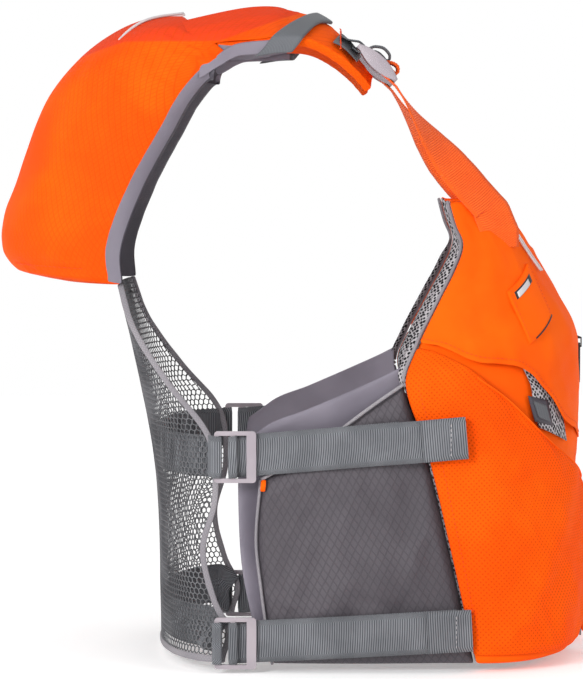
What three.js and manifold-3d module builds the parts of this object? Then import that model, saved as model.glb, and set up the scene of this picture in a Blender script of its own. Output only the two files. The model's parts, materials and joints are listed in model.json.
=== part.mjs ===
// High-back paddling life jacket, millimetres. +X is the wearer's left, -Y the front, +Z up.
// The origin is on the line where the shoulder pads rest on the wearer.
import * as THREE from 'three';
import Module from 'manifold-3d';

const wasm = await Module();
wasm.setup();

// Driving dimensions
const halfWidth = 160;        // centre to the side wings
const frontReach = 248;       // shoulder line to the centre front
const hemHeight = -519;       // bottom edge of the front
const meshHemHeight = -511;   // bottom edge of the back mesh
const wingTop = -282;         // where the side wings meet the armholes
const chestTop = -128;        // top of the chest panels beside the straps
const neckPoint = -172;       // bottom of the neck opening
const zipTop = -245;          // upper end of the closed front zip
const padHalfWidth = 102;     // back pad, centre to side edge
const padBottom = -198;       // bottom of the back pad's side edges
const meshHalfWidth = 157;    // back mesh, centre to bound edge
const wingRear = 28;          // rear edge of the side wings
const clothThick = 1.4;       // covers and linings
const gap = 0.4;              // between touching pieces
const turnRoom = 0.9;         // round a square bar that turns in its webbing loop
const frontFoamEdge = 11;     // front foam at its edges
const frontFoamMiddle = 40;   // front foam at its thickest
const backFoamEdge = 13;
const backFoamMiddle = 60;
const wingFoamThick = 16;
const shoulderThick = 11;
const webThick = 1.4;
const sideWebWidth = 35;
const shoulderWebWidth = 38;
const buckleThick = 4;
const buckleRim = 3.6;        // buckle side rails, beside the webbing
const zipFieldHalf = 7;       // centre line to the edge of a front panel
const frontSlider = { length: 15, halfWidth: 4.6, plate: 1.6 };
const pocketSlider = { length: 11, halfWidth: 3.8, plate: 1.4 };
const frontPull = { length: 34, width: 8, bar: 1.8 };
const pocketPull = { length: 22, width: 6.6, bar: 1.6 };
const pocketZip = { x: 45, bottom: -503, top: -403, halfWidth: 6.5 };
const lashTab = { width: 40, height: 62, slotLength: 27, slotWidth: 6, thick: 1.6 };

// Materials
const material = (color, roughness, metalness = 0) =>
  new THREE.MeshStandardMaterial({ color, roughness, metalness });
const orange = material(0xfb5b18, 0.75);
const orangeWeb = material(0xff6a2c, 0.8);
const greyRipstop = material(0x625d63, 0.7);
const greyLining = material(0x87818b, 0.75);
const greyWeb = material(0x77787c, 0.85);
const meshGrey = material(0x6b6b6d, 0.9);
const reflective = material(0x8f9494, 0.35);
const buckleGrey = material(0xb4aaae, 0.45);
const zipBlack = material(0x16161a, 0.5);
const zipGrey = material(0x8b8e92, 0.35, 0.9);
const foam = material(0xe9e4d6, 0.95);

const model = new THREE.Group();
model.name = 'life_jacket';

const vec = (x, y, z) => new THREE.Vector3(x, y, z);
const mix = THREE.MathUtils.lerp;
const hump = (t, power = 0.5) => Math.pow(Math.max(0, Math.sin(Math.PI * t)), power);

// A smooth curve through [place, value] pairs
function track(pairs) {
  return (place) => {
    const last = pairs.length - 1;
    if (place <= pairs[0][0]) return pairs[0][1];
    if (place >= pairs[last][0]) return pairs[last][1];
    const i = pairs.findIndex((pair, k) => k < last && place <= pairs[k + 1][0]);
    const [a, b] = [pairs[i], pairs[i + 1]];
    const before = pairs[Math.max(0, i - 1)];
    const after = pairs[Math.min(last, i + 2)];
    const span = b[0] - a[0];
    const t = (place - a[0]) / span;
    const slopeA = ((b[1] - before[1]) / (b[0] - before[0])) * span;
    const slopeB = ((after[1] - a[1]) / (after[0] - a[0])) * span;
    const t2 = t * t;
    const t3 = t2 * t;
    return (2 * t3 - 3 * t2 + 1) * a[1] + (t3 - 2 * t2 + t) * slopeA
      + (3 * t2 - 2 * t3) * b[1] + (t3 - t2) * slopeB;
  };
}

// Geometry from shared vertices, turned so that its faces look out
function solid(points, triangles) {
  let volume = 0;
  for (const [a, b, c] of triangles) {
    volume += points[a].dot(vec(0, 0, 0).crossVectors(points[b], points[c]));
  }
  const order = volume > 0 ? triangles : triangles.map(([a, b, c]) => [a, c, b]);
  const geometry = new THREE.BufferGeometry();
  geometry.setAttribute('position',
    new THREE.Float32BufferAttribute(points.flatMap((p) => [p.x, p.y, p.z]), 3));
  geometry.setIndex(order.flat());
  geometry.computeVertexNormals();
  return geometry;
}

// A curved slab between two point functions of (s, t), both 0 to 1
function slab(columns, rows, outer, inner) {
  const points = [];
  for (const side of [outer, inner]) {
    for (let j = 0; j <= rows; j += 1) {
      for (let i = 0; i <= columns; i += 1) points.push(side(i / columns, j / rows));
    }
  }
  const count = (columns + 1) * (rows + 1);
  const at = (i, j, layer) => layer * count + j * (columns + 1) + i;
  const triangles = [];
  const quad = (a, b, c, d) => triangles.push([a, b, c], [a, c, d]);
  for (let j = 0; j < rows; j += 1) {
    for (let i = 0; i < columns; i += 1) {
      quad(at(i, j, 0), at(i + 1, j, 0), at(i + 1, j + 1, 0), at(i, j + 1, 0));
      quad(at(i, j, 1), at(i, j + 1, 1), at(i + 1, j + 1, 1), at(i + 1, j, 1));
    }
  }
  for (let i = 0; i < columns; i += 1) {
    quad(at(i, 0, 0), at(i, 0, 1), at(i + 1, 0, 1), at(i + 1, 0, 0));
    quad(at(i, rows, 0), at(i + 1, rows, 0), at(i + 1, rows, 1), at(i, rows, 1));
  }
  for (let j = 0; j < rows; j += 1) {
    quad(at(0, j, 0), at(0, j + 1, 0), at(0, j + 1, 1), at(0, j, 1));
    quad(at(columns, j, 0), at(columns, j, 1), at(columns, j + 1, 1), at(columns, j + 1, 0));
  }
  return solid(points, triangles);
}

// Flat webbing swept along points; across[i] is its width direction at points[i]
function ribbon(points, across, width, thick) {
  const corners = [];
  const last = points.length - 1;
  points.forEach((point, i) => {
    const side = across[i].clone().normalize();
    const into = point.clone().sub(points[Math.max(0, i - 1)]);
    const out = points[Math.min(last, i + 1)].clone().sub(point);
    if (i === 0) into.copy(out);
    if (i === last) out.copy(into);
    const faceIn = vec(0, 0, 0).crossVectors(side, into.normalize()).normalize();
    const faceOut = vec(0, 0, 0).crossVectors(side, out.normalize()).normalize();
    const face = faceIn.clone().add(faceOut).normalize();
    const reach = thick / 2 / Math.max(0.5, face.dot(faceIn));
    for (const [w, n] of [[-1, -1], [1, -1], [1, 1], [-1, 1]]) {
      corners.push(point.clone().addScaledVector(side, (w * width) / 2)
        .addScaledVector(face, n * reach));
    }
  });
  const triangles = [];
  for (let i = 0; i < last; i += 1) {
    for (let k = 0; k < 4; k += 1) {
      const a = 4 * i + k;
      const b = 4 * i + ((k + 1) % 4);
      triangles.push([a, b, b + 4], [a, b + 4, a + 4]);
    }
  }
  const end = 4 * last;
  triangles.push([0, 2, 1], [0, 3, 2], [end, end + 1, end + 2], [end, end + 2, end + 3]);
  return solid(corners, triangles);
}

// The same geometry on the wearer's other side
function mirrored(geometry) {
  const copy = geometry.clone().applyMatrix4(new THREE.Matrix4().makeScale(-1, 1, 1));
  const index = Array.from(copy.index.array);
  for (let i = 0; i < index.length; i += 3) {
    [index[i + 1], index[i + 2]] = [index[i + 2], index[i + 1]];
  }
  copy.setIndex(index);
  copy.computeVertexNormals();
  return copy;
}

function add(name, geometry, kind) {
  const mesh = new THREE.Mesh(geometry, kind);
  mesh.name = name;
  model.add(mesh);
  return mesh;
}

// One piece on each side, from geometry made for the wearer's right, where x is negative
function addPair(name, geometry, kind) {
  add(`${name}_right`, geometry, kind);
  add(`${name}_left`, mirrored(geometry), kind);
}

// The same faces with their corners shared
function indexed(geometry) {
  const position = geometry.getAttribute('position');
  const keys = new Map();
  const points = [];
  const ids = [];
  for (let i = 0; i < position.count; i += 1) {
    const p = vec(position.getX(i), position.getY(i), position.getZ(i));
    const key = [p.x, p.y, p.z].map((n) => Math.round(n * 1e4)).join();
    if (!keys.has(key)) {
      keys.set(key, points.length);
      points.push(p);
    }
    ids.push(keys.get(key));
  }
  const triangles = [];
  for (let i = 0; i < ids.length; i += 3) {
    const [a, b, c] = ids.slice(i, i + 3);
    if (a !== b && b !== c && a !== c) triangles.push([a, b, c]);
  }
  return solid(points, triangles);
}

function joined(first, second) {
  const [a, b] = [first, second].map((geometry) => new wasm.Manifold(new wasm.Mesh({
    numProp: 3,
    vertProperties: geometry.getAttribute('position').array,
    triVerts: new Uint32Array(geometry.index.array),
  })));
  const mesh = a.add(b).getMesh();
  const geometry = new THREE.BufferGeometry();
  geometry.setAttribute('position', new THREE.BufferAttribute(mesh.vertProperties, 3));
  geometry.setIndex(new THREE.BufferAttribute(mesh.triVerts, 1));
  geometry.computeVertexNormals();
  return geometry;
}

function outline(points) {
  return new THREE.Shape(points.map(([x, y]) => new THREE.Vector2(x, y)));
}

function boxHole(cx, cy, w, h) {
  const hole = new THREE.Path();
  hole.moveTo(cx - w / 2, cy - h / 2);
  hole.lineTo(cx + w / 2, cy - h / 2);
  hole.lineTo(cx + w / 2, cy + h / 2);
  hole.lineTo(cx - w / 2, cy + h / 2);
  hole.closePath();
  return hole;
}

function roundedBox(w, h, r) {
  const shape = new THREE.Shape();
  shape.moveTo(-w / 2 + r, -h / 2);
  shape.lineTo(w / 2 - r, -h / 2);
  shape.absarc(w / 2 - r, -h / 2 + r, r, -Math.PI / 2, 0);
  shape.lineTo(w / 2, h / 2 - r);
  shape.absarc(w / 2 - r, h / 2 - r, r, 0, Math.PI / 2);
  shape.lineTo(-w / 2 + r, h / 2);
  shape.absarc(-w / 2 + r, h / 2 - r, r, Math.PI / 2, Math.PI);
  shape.lineTo(-w / 2, -h / 2 + r);
  shape.absarc(-w / 2 + r, -h / 2 + r, r, Math.PI, 1.5 * Math.PI);
  return shape;
}

function extruded(shape, depth, curveSegments = 3) {
  return new THREE.ExtrudeGeometry(shape, { depth, bevelEnabled: false, curveSegments });
}

// Front, one side: plan curves run from the centre front (s = 0) to the side edge (s = 1)
const frontLine = track([
  [hemHeight, -frontReach + 7], [hemHeight + 12, -frontReach + 1.5], [hemHeight + 30, -frontReach],
  [zipTop - 25, -frontReach], [zipTop + 4, -frontReach + 3], [-211, -frontReach + 19],
  [neckPoint, -frontReach + 42], [-148, -frontReach + 55], [chestTop, -frontReach + 72],
]);
const sideEdgeY = track([
  [hemHeight, -156], [-420, -134], [-337, -114], [wingTop, -96], [-254, -105], [-212, -126],
  [-187, -139], [-166, -146], [-150, -140], [chestTop, -134],
]);
const sideEdgeX = track([
  [hemHeight, halfWidth], [wingTop, halfWidth], [-254, halfWidth - 13], [-212, halfWidth - 29],
  [-166, halfWidth - 45], [chestTop, halfWidth - 56],
]);
const planPower = 0.8;

function frontPoint(s, z, offset) {
  const place = (u, height) => {
    const a = sideEdgeX(height);
    const yEdge = sideEdgeY(height);
    const b = yEdge - frontLine(height);
    const start = Math.asin(Math.pow(zipFieldHalf / a, 1 / planPower));
    const angle = mix(start, Math.PI / 2, u);
    return vec(-a * Math.pow(Math.sin(angle), planPower),
      yEdge - b * Math.pow(Math.max(0, Math.cos(angle)), planPower), height);
  };
  const step = 0.004;
  const u = THREE.MathUtils.clamp(s, step, 0.97);
  const along = place(u + step, z).sub(place(u - step, z));
  const up = place(u, z + 2).sub(place(u, z - 2));
  const normal = vec(0, 0, 0).crossVectors(up, along).normalize();
  if (s > 0.97) normal.set(-1, 0, 0);
  return place(s, z).addScaledVector(normal, offset);
}

const frontTop = (s) => mix(neckPoint, chestTop, THREE.MathUtils.smoothstep(s, 0.05, 0.5));
const frontHeight = (s, t) => mix(hemHeight + 2, frontTop(s), t);
const frontFoamDepth = (s, t) => mix(frontFoamEdge, frontFoamMiddle,
  hump(s * 0.94 + 0.03) * hump(mix(0.03, 0.97, t), 0.6));

function addFront() {
  const layer = (from, to) => slab(10, 12, (s, t) => frontPoint(s, frontHeight(s, t), from(s, t)),
    (s, t) => frontPoint(s, frontHeight(s, t), to(s, t)));
  const coverIn = () => -clothThick;
  const foamOut = () => -clothThick - gap;
  const foamIn = (s, t) => foamOut() - frontFoamDepth(s, t);
  const liningOut = (s, t) => foamIn(s, t) - gap;
  const liningIn = (s, t) => liningOut(s, t) - clothThick;
  addPair('chest_panel', layer(() => 0, coverIn), orange);
  addPair('front_foam', layer(foamOut, foamIn), foam);
  addPair('front_lining', layer(liningOut, liningIn), greyLining);

  // Edge strips close the panel between its cover and its lining
  const hemAt = (s, q, z) => frontPoint(s, z, mix(0, liningIn(s, 0), q));
  addPair('front_hem', slab(10, 1, (s, q) => hemAt(s, q, hemHeight + 2 - gap),
    (s, q) => hemAt(s, q, hemHeight)), orange);
  const gussetAt = (q, t, out) => {
    const row = mix(2 / 3, 1, t);
    const point = frontPoint(1, frontHeight(1, row), mix(0, liningIn(1, row), q));
    return point.add(vec(0, out, 0));
  };
  addPair('armhole_gusset', slab(1, 4, (q, t) => gussetAt(q, t, gap + 0.3 + clothThick),
    (q, t) => gussetAt(q, t, gap + 0.3)), greyLining);
}

// Pocket panel, sewn over the lower front with room inside
const pocketTop = track([[0, -366], [0.3, -350], [0.49, -321], [0.6, -298], [0.8, -264], [1, -281]]);
const pocketBottom = hemHeight + 10;
const pocketLift = (s, t) => gap + 6.5 * hump(mix(0.02, 1, s), 0.6) * hump(mix(0.02, 0.8, t), 0.6);

function pocketPoint(s, t, offset) {
  return frontPoint(s, mix(pocketBottom, pocketTop(s), t), pocketLift(s, t) + offset);
}

function addPockets() {
  addPair('pocket_panel', slab(10, 9, (s, t) => pocketPoint(s, t, clothThick),
    (s, t) => pocketPoint(s, t, 0)), orange);
}

// Front-most plane of the pocket panel along its zip
function pocketZipFace() {
  let face = 0;
  for (let s = 0; s <= 0.5; s += 0.02) {
    for (let t = 0; t <= 1; t += 0.05) {
      const p = pocketPoint(s, t, clothThick);
      const near = Math.abs(Math.abs(p.x) - pocketZip.x) < pocketZip.halfWidth + 8;
      if (near && p.z < pocketZip.top + 15) face = Math.min(face, p.y);
    }
  }
  return face - gap;
}

// Zip slider with its bail, made for a chain that runs along Z with its face at y = 0
function sliderGeometry({ length, halfWidth: half, plate }, chainHalf, lift) {
  const leg = half - chainHalf - gap;
  const shape = outline([
    [-half, -gap], [-half, -lift - plate], [half, -lift - plate], [half, -gap],
    [half - leg, -gap], [half - leg, -lift], [leg - half, -lift], [leg - half, -gap],
  ]);
  const channel = indexed(extruded(shape, length).translate(0, 0, -length));
  const bail = outline([[0.1, -6], [0.1, 6], [4.6, 4.2], [4.6, -4.2]]);
  bail.holes.push(boxHole(2.2, 0, 2.8, 6));
  const arch = extruded(bail, 2).translate(0, 0, -1);
  arch.applyMatrix4(new THREE.Matrix4().makeBasis(vec(0, -1, 0), vec(0, 0, 1), vec(-1, 0, 0)));
  arch.translate(0, -lift - plate + 0.3, -length / 2);
  return joined(channel, indexed(arch));
}

// Pull tab that hangs from a bail; its bar lies on the X axis at the origin
function pullGeometry({ length, width, bar }) {
  const shape = new THREE.Shape();
  shape.moveTo(-width / 2, bar / 2);
  shape.lineTo(width / 2, bar / 2);
  shape.lineTo(width / 2 - 0.6, -length + 3);
  shape.lineTo(width / 2 - 2, -length);
  shape.lineTo(-width / 2 + 2, -length);
  shape.lineTo(-width / 2 + 0.6, -length + 3);
  shape.holes.push(boxHole(0, -bar / 2 - 3, width - 3, 6));
  const plate = extruded(shape, bar).translate(0, 0, -bar / 2);
  return indexed(plate.rotateX(Math.PI / 2));
}

function addFrontZip() {
  const teethHalf = 2.6;
  const teethLift = 1.2;
  const length = zipTop - hemHeight - 10;
  const face = -frontReach + 0.8;
  const half = outline([
    [-0.15, -teethLift], [-teethHalf, -teethLift], [-teethHalf, -0.45],
    [-zipFieldHalf + gap, -0.45], [-zipFieldHalf + gap, 0.45], [-teethHalf, 0.45],
    [-teethHalf, teethLift], [-0.15, teethLift],
  ]);
  const tape = indexed(extruded(half, length).translate(0, face, hemHeight + 10));
  addPair('front_zip_tape', tape, zipBlack);
  const sliderTop = zipTop - 2;
  const slider = sliderGeometry(frontSlider, teethHalf, teethLift + gap);
  slider.translate(0, face - 0.45, sliderTop);
  add('front_zip_slider', slider, zipBlack);
  const pull = pullGeometry(frontPull);
  const barY = face - 0.45 - teethLift - gap - frontSlider.plate + 0.3 - 2.2;
  pull.translate(0, barY, sliderTop - frontSlider.length / 2 - 1.6);
  add('front_zip_pull', pull, zipBlack);
}

function addPocketZips() {
  const teethHalf = 2;
  const teethLift = 1.1;
  const tapeThick = 0.8;
  const face = pocketZipFace();
  const { x, bottom, top, halfWidth: half } = pocketZip;
  const shape = outline([
    [-half, 0], [half, 0], [half, -tapeThick], [teethHalf, -tapeThick],
    [teethHalf, -tapeThick - teethLift], [-teethHalf, -tapeThick - teethLift],
    [-teethHalf, -tapeThick], [-half, -tapeThick],
  ]);
  addPair('pocket_zip', indexed(extruded(shape, top - bottom).translate(-x, face, bottom)), orange);
  const sliderTop = bottom + pocketSlider.length + 1;
  const slider = sliderGeometry(pocketSlider, teethHalf, teethLift + gap);
  slider.translate(-x, face - tapeThick, sliderTop);
  addPair('pocket_slider', slider, zipGrey);
  const pull = pullGeometry(pocketPull);
  const barY = face - tapeThick - teethLift - gap - pocketSlider.plate + 0.3 - 2.2;
  pull.translate(-x, barY, sliderTop - pocketSlider.length / 2 - 1.6);
  addPair('pocket_pull', pull, zipGrey);
}

// Lash tab: a flat patch with a slot, held off the curved chest by its thickness
function addLashTabs() {
  const { width, height, slotLength, slotWidth, thick } = lashTab;
  const lean = 10;
  const shape = outline([
    [-width / 2 - lean, -height / 2 + 14], [width / 2 - lean, -height / 2 - 14],
    [width / 2 + lean, height / 2 - 14], [-width / 2 + lean, height / 2 + 14],
  ]);
  shape.holes.push(boxHole(lean / 2, height / 2 - 16, slotWidth, slotLength));
  const centreS = 0.52;
  const centreZ = -217;
  const centre = frontPoint(centreS, centreZ, 0);
  const normal = frontPoint(centreS, centreZ, 1).sub(centre);
  const along = frontPoint(centreS + 0.05, centreZ, 0).sub(frontPoint(centreS - 0.05, centreZ, 0));
  along.normalize();
  const up = vec(0, 0, 0).crossVectors(normal, along).normalize();
  if (up.z < 0) up.negate();
  const right = vec(0, 0, 0).crossVectors(up, normal).normalize();
  let lift = 0;
  for (let s = 0.1; s <= 1; s += 0.03) {
    for (let z = centreZ - 50; z <= centreZ + 50; z += 5) {
      const from = frontPoint(s, z, 0).sub(centre);
      const inside = Math.abs(from.dot(right)) < width / 2 + lean
        && Math.abs(from.dot(up)) < height / 2 + 14;
      if (inside) lift = Math.max(lift, from.dot(normal));
    }
  }
  const plate = extruded(shape, thick);
  plate.applyMatrix4(new THREE.Matrix4().makeBasis(right, up, normal));
  const seat = centre.clone().addScaledVector(normal, lift + gap);
  addPair('lash_tab', indexed(plate.translate(seat.x, seat.y, seat.z)), orange);
}

// Side wings: a wall whose plan does not change with height, so that webbing lies flat on it
const wingBulge = 4;
const wallX = (y) => {
  const t = THREE.MathUtils.clamp((y - wingRear) / (-130 - wingRear), 0, 1);
  return -(halfWidth + wingBulge * Math.sin(Math.PI * t));
};
const wingTopLine = track([[0, wingTop], [0.35, wingTop - 26], [0.7, -338], [1, -362]]);
const wingRearEdge = track([[hemHeight, 14], [-482, 20], [-452, 24], [-412, wingRear], [-362, 24]]);

function wingPoint(s, t, depth, rise) {
  const z = mix(hemHeight + 2, wingTopLine(s) + rise, t);
  const front = sideEdgeY(Math.min(z, wingTop)) + gap + 0.5;
  const y = mix(front, wingRearEdge(z), s);
  return vec(wallX(y) + depth, y, z);
}

function addWings() {
  const layer = (from, to, rise) => slab(8, 8, (s, t) => wingPoint(s, t, from, rise),
    (s, t) => wingPoint(s, t, to, rise));
  const foamOut = clothThick + gap;
  const foamIn = foamOut + wingFoamThick;
  addPair('wing_cover', layer(0, clothThick, 0), greyRipstop);
  addPair('wing_foam', layer(foamOut, foamIn, -2), foam);
  addPair('wing_lining', layer(foamIn + gap, foamIn + gap + clothThick, 24), greyLining);
}

// Side buckles and their webbing; s runs to the rear and n away from the wearer
const buckle = { rear: 63, front: 28, barRear: 4, barMiddle: 4, barFront: 8 };
const straps = {
  upper: { rearHeight: -342, slope: -0.086, tailEnd: -146, tailFlare: 9, anchor: -92, mesh: -342 },
  lower: { rearHeight: -498, slope: -0.055, tailEnd: -151, tailFlare: 3, anchor: -140, mesh: -486 },
};
const innerLayer = gap + webThick / 2;
const tailLayer = innerLayer + webThick + gap;
const buckleBack = tailLayer + webThick / 2 + gap;
const overBar = buckleBack + buckleThick + gap + webThick / 2;
const windowSize = (buckle.rear - buckle.front - buckle.barRear - buckle.barMiddle
  - buckle.barFront) / 2;
const middleBar = buckle.rear - buckle.barRear - windowSize - buckle.barMiddle / 2;

function sideStrap({ rearHeight, slope, tailEnd, tailFlare, anchor }) {
  const wrap = buckle.barMiddle / 2 + gap + webThick / 2;
  const path = [];
  const along = (from, to, n, steps, flare = 0) => {
    for (let i = 0; i <= steps; i += 1) {
      const y = mix(from, to, i / steps);
      path.push([y, n + flare * THREE.MathUtils.smoothstep(-y, 60, 110)]);
    }
  };
  along(anchor, middleBar + wrap, innerLayer, 8);
  path.push([middleBar + wrap, overBar], [middleBar - wrap, overBar]);
  along(middleBar - wrap, tailEnd, tailLayer, 9, tailFlare);
  const points = path.map(([y, n]) => vec(wallX(y) - n, y, rearHeight + slope * (y - middleBar)));
  return ribbon(points, points.map(() => vec(0, 0, 1)), sideWebWidth, webThick);
}

function sideBuckle(height) {
  const depth = buckle.rear - buckle.front;
  const tall = sideWebWidth + 2 * (buckleRim + gap);
  const shape = roundedBox(depth, tall, 3);
  const inside = sideWebWidth + 2 * gap;
  const rearWindow = middleBar + buckle.barMiddle / 2 + windowSize / 2;
  const frontWindow = middleBar - buckle.barMiddle / 2 - windowSize / 2;
  const middle = (buckle.rear + buckle.front) / 2;
  shape.holes.push(boxHole(rearWindow - middle, 0, windowSize, inside));
  shape.holes.push(boxHole(frontWindow - middle, 0, windowSize, inside + gap));
  const frame = extruded(shape, buckleThick);
  frame.applyMatrix4(new THREE.Matrix4().makeBasis(vec(0, 1, 0), vec(0, 0, 1), vec(1, 0, 0)));
  return indexed(frame.translate(wallX(buckle.rear) - buckleBack - buckleThick, middle, height));
}

// Back mesh: from the pad's bottom to its own hem
const meshCentreLine = track([[meshHemHeight, 115], [-445, 115], [-377, 118], [-332, 124],
  [-262, 137], [padBottom, 150]]);
const meshEdgeY = track([[meshHemHeight, 56], [-490, 50], [-465, 62], [-420, 72], [-381, 62],
  [-338, 63], [-317, 72], [-283, 101], [-237, 132], [padBottom, 145]]);
const meshEdgeX = track([[meshHemHeight, meshHalfWidth], [-350, meshHalfWidth],
  [-310, meshHalfWidth - 5], [padBottom, padHalfWidth - 8]]);
const meshTopHeight = padBottom - 5.5;

function meshPoint(u, z, offset) {
  const place = (side) => {
    const angle = (side * Math.PI) / 2;
    const deep = meshCentreLine(z) - meshEdgeY(z);
    return vec(meshEdgeX(z) * Math.sin(angle), meshEdgeY(z) + deep * Math.cos(angle), z);
  };
  const side = THREE.MathUtils.clamp(u, -0.96, 0.96);
  const along = place(side + 0.02).sub(place(side - 0.02));
  const normal = vec(-along.y, along.x, 0).normalize();
  if (normal.y < 0) normal.negate();
  return place(u).addScaledVector(normal, offset);
}

function addMesh() {
  const rowZ = (t) => mix(meshHemHeight, meshTopHeight, t);
  add('back_mesh', slab(18, 14, (s, t) => meshPoint(mix(-1, 1, s), rowZ(t), 1),
    (s, t) => meshPoint(mix(-1, 1, s), rowZ(t), -1)), meshGrey);
  const bound = (q, t, layer) => meshPoint(-1, rowZ(t), mix(-2, 2, q))
    .add(vec(0, -gap - 0.3 - layer, 0));
  addPair('mesh_binding', slab(1, 14, (q, t) => bound(q, t, 2.4), (q, t) => bound(q, t, 0)), greyWeb);
  const hemAt = (s, q, z) => meshPoint(mix(-1, 1, s), meshHemHeight, mix(-1.6, 1.6, q))
    .setZ(z);
  add('mesh_hem', slab(18, 1, (s, q) => hemAt(s, q, meshHemHeight - gap),
    (s, q) => hemAt(s, q, meshHemHeight - gap - 6)), greyWeb);
}

// Belts cross the back over the mesh and loop round the rear bar of each side buckle
function backBelt({ rearHeight, mesh }) {
  const rearBar = buckle.rear - buckle.barRear / 2;
  const wrap = buckle.barRear / 2 + turnRoom + webThick / 2;
  const over = overBar - gap + turnRoom;
  const wall = wallX(buckle.rear);
  const half = [];
  const outside = 1 + 2 * gap + webThick / 2;
  for (const u of [0, 0.1, 0.2, 0.3, 0.4, 0.5, 0.6, 0.7, 0.8]) {
    const heights = [-1, -0.5, 0, 0.5, 1].map((k) => mesh + (k * sideWebWidth) / 2);
    const furthest = Math.max(...heights.map((z) => meshPoint(-u, z, outside).y));
    half.push(meshPoint(-u, mesh, outside).setY(furthest));
  }
  half.push(vec(-meshHalfWidth - 3, meshEdgeY(mesh) + 13, mix(mesh, rearHeight, 0.5)));
  half.push(vec(wall - over + 1.5, rearBar + wrap + 7, rearHeight));
  half.push(vec(wall - over, rearBar + wrap, rearHeight));
  half.push(vec(wall - over, rearBar - wrap, rearHeight));
  const under = buckleBack - turnRoom - webThick / 2;
  half.push(vec(wall - under, rearBar - wrap, rearHeight));
  half.push(vec(wall - under, rearBar + wrap + 2, rearHeight));
  const other = half.slice(1).reverse().map((p) => vec(-p.x, p.y, p.z));
  const points = [...other, ...half];
  return ribbon(points, points.map(() => vec(0, 0, 1)), sideWebWidth, webThick);
}

function addSides() {
  for (const [level, strap] of Object.entries(straps)) {
    addPair(`side_strap_${level}`, sideStrap(strap), greyWeb);
    addPair(`side_buckle_${level}`, sideBuckle(strap.rearHeight), buckleGrey);
    add(`back_belt_${level}`, backBelt(strap), greyWeb);
  }
}

// Back pad: s runs from its bottom edge to the neck, u from the right edge to the left
const padCentre = new THREE.CatmullRomCurve3([vec(0, 238, -192), vec(0, 252, -166),
  vec(0, 238, -112), vec(0, 208, -42), vec(0, 178, -3), vec(0, 136, 23), vec(0, 92, 30)]);
const padEdge = new THREE.CatmullRomCurve3([vec(0, 157, padBottom), vec(-1, 158, -168),
  vec(0, 140, -118), vec(3, 112, -68), vec(6, 94, -36), vec(8, 74, -14), vec(9, 54, -3)]);

function padPoint(u, s, depth) {
  const place = (side, run) => {
    const centre = padCentre.getPoint(THREE.MathUtils.clamp(run, 0, 1));
    const edge = padEdge.getPoint(THREE.MathUtils.clamp(run, 0, 1));
    const angle = (side * Math.PI) / 2;
    const blend = Math.pow(Math.max(0, Math.cos(angle)), 0.85);
    return vec((padHalfWidth - edge.x) * Math.sin(angle), mix(edge.y, centre.y, blend),
      mix(edge.z, centre.z, blend));
  };
  const side = THREE.MathUtils.clamp(u, -0.93, 0.93);
  const run = THREE.MathUtils.clamp(s, 0.02, 0.98);
  const across = place(side + 0.02, run).sub(place(side - 0.02, run));
  const along = place(side, run + 0.02).sub(place(side, run - 0.02));
  const normal = vec(0, 0, 0).crossVectors(along, across).normalize();
  const edge = padEdge.getPoint(run);
  if (normal.dot(place(0, run).sub(vec(0, edge.y - 60, edge.z - 60))) < 0) normal.negate();
  const lean = THREE.MathUtils.smoothstep(s, 0, 0.5);
  const inward = vec(0, -1, -mix(0.2, 0.5, lean)).normalize().lerp(normal.negate(), 0.4 * lean);
  inward.lerp(vec(0, 0, -1), THREE.MathUtils.smoothstep(s, 0.75, 1)).normalize();
  return place(u, s).addScaledVector(inward, depth);
}

const padDepth = (u, s) => mix(backFoamEdge, backFoamMiddle,
  Math.pow(Math.max(0, Math.cos((u * Math.PI) / 2)), 0.6) * hump(mix(0.12, 0.93, s), 0.6));

function addBackPad() {
  const layer = (from, to) => slab(14, 12, (q, s) => padPoint(mix(-1, 1, q), s, from(mix(-1, 1, q), s)),
    (q, s) => padPoint(mix(-1, 1, q), s, to(mix(-1, 1, q), s)));
  const foamOut = () => clothThick + gap;
  const foamIn = (u, s) => foamOut() + padDepth(u, s);
  const liningOut = (u, s) => foamIn(u, s) + gap;
  const liningIn = (u, s) => liningOut(u, s) + clothThick;
  add('back_cover', layer(() => 0, () => clothThick), orange);
  add('back_foam', layer(foamOut, foamIn), foam);
  add('back_lining', layer(liningOut, liningIn), greyLining);
  const gusset = (q, s, out) => padPoint(-1, s, mix(0, liningIn(1, s), q)).add(vec(-out, 0, 0));
  addPair('back_gusset', slab(1, 12, (q, s) => gusset(q, s, gap + clothThick),
    (q, s) => gusset(q, s, gap)), greyLining);
  const under = (q, d, drop) => {
    const u = mix(-1, 1, q);
    return padPoint(u, 0, mix(0, liningIn(u, 0), d)).add(vec(0, 0, -drop));
  };
  add('back_hem', slab(14, 1, (q, d) => under(q, d, gap), (q, d) => under(q, d, gap + clothThick)),
    orange);
}

// Shoulder sleeve, right side: t runs from the back pad to the tongue, w from outer edge to inner
const sleeveInner = new THREE.CatmullRomCurve3([vec(-52, 62, 33), vec(-50, 20, 36),
  vec(-54, -8, 32), vec(-60, -25, 26), vec(-66, -43, 12), vec(-70, -58, -8), vec(-72, -71, -25)]);
const sleeveOuter = new THREE.CatmullRomCurve3([vec(-93, 46, -3), vec(-108, 20, 7),
  vec(-112, -8, 8), vec(-110, -25, 3), vec(-107, -43, -8), vec(-103, -57, -20),
  vec(-100, -69, -34)]);

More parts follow.
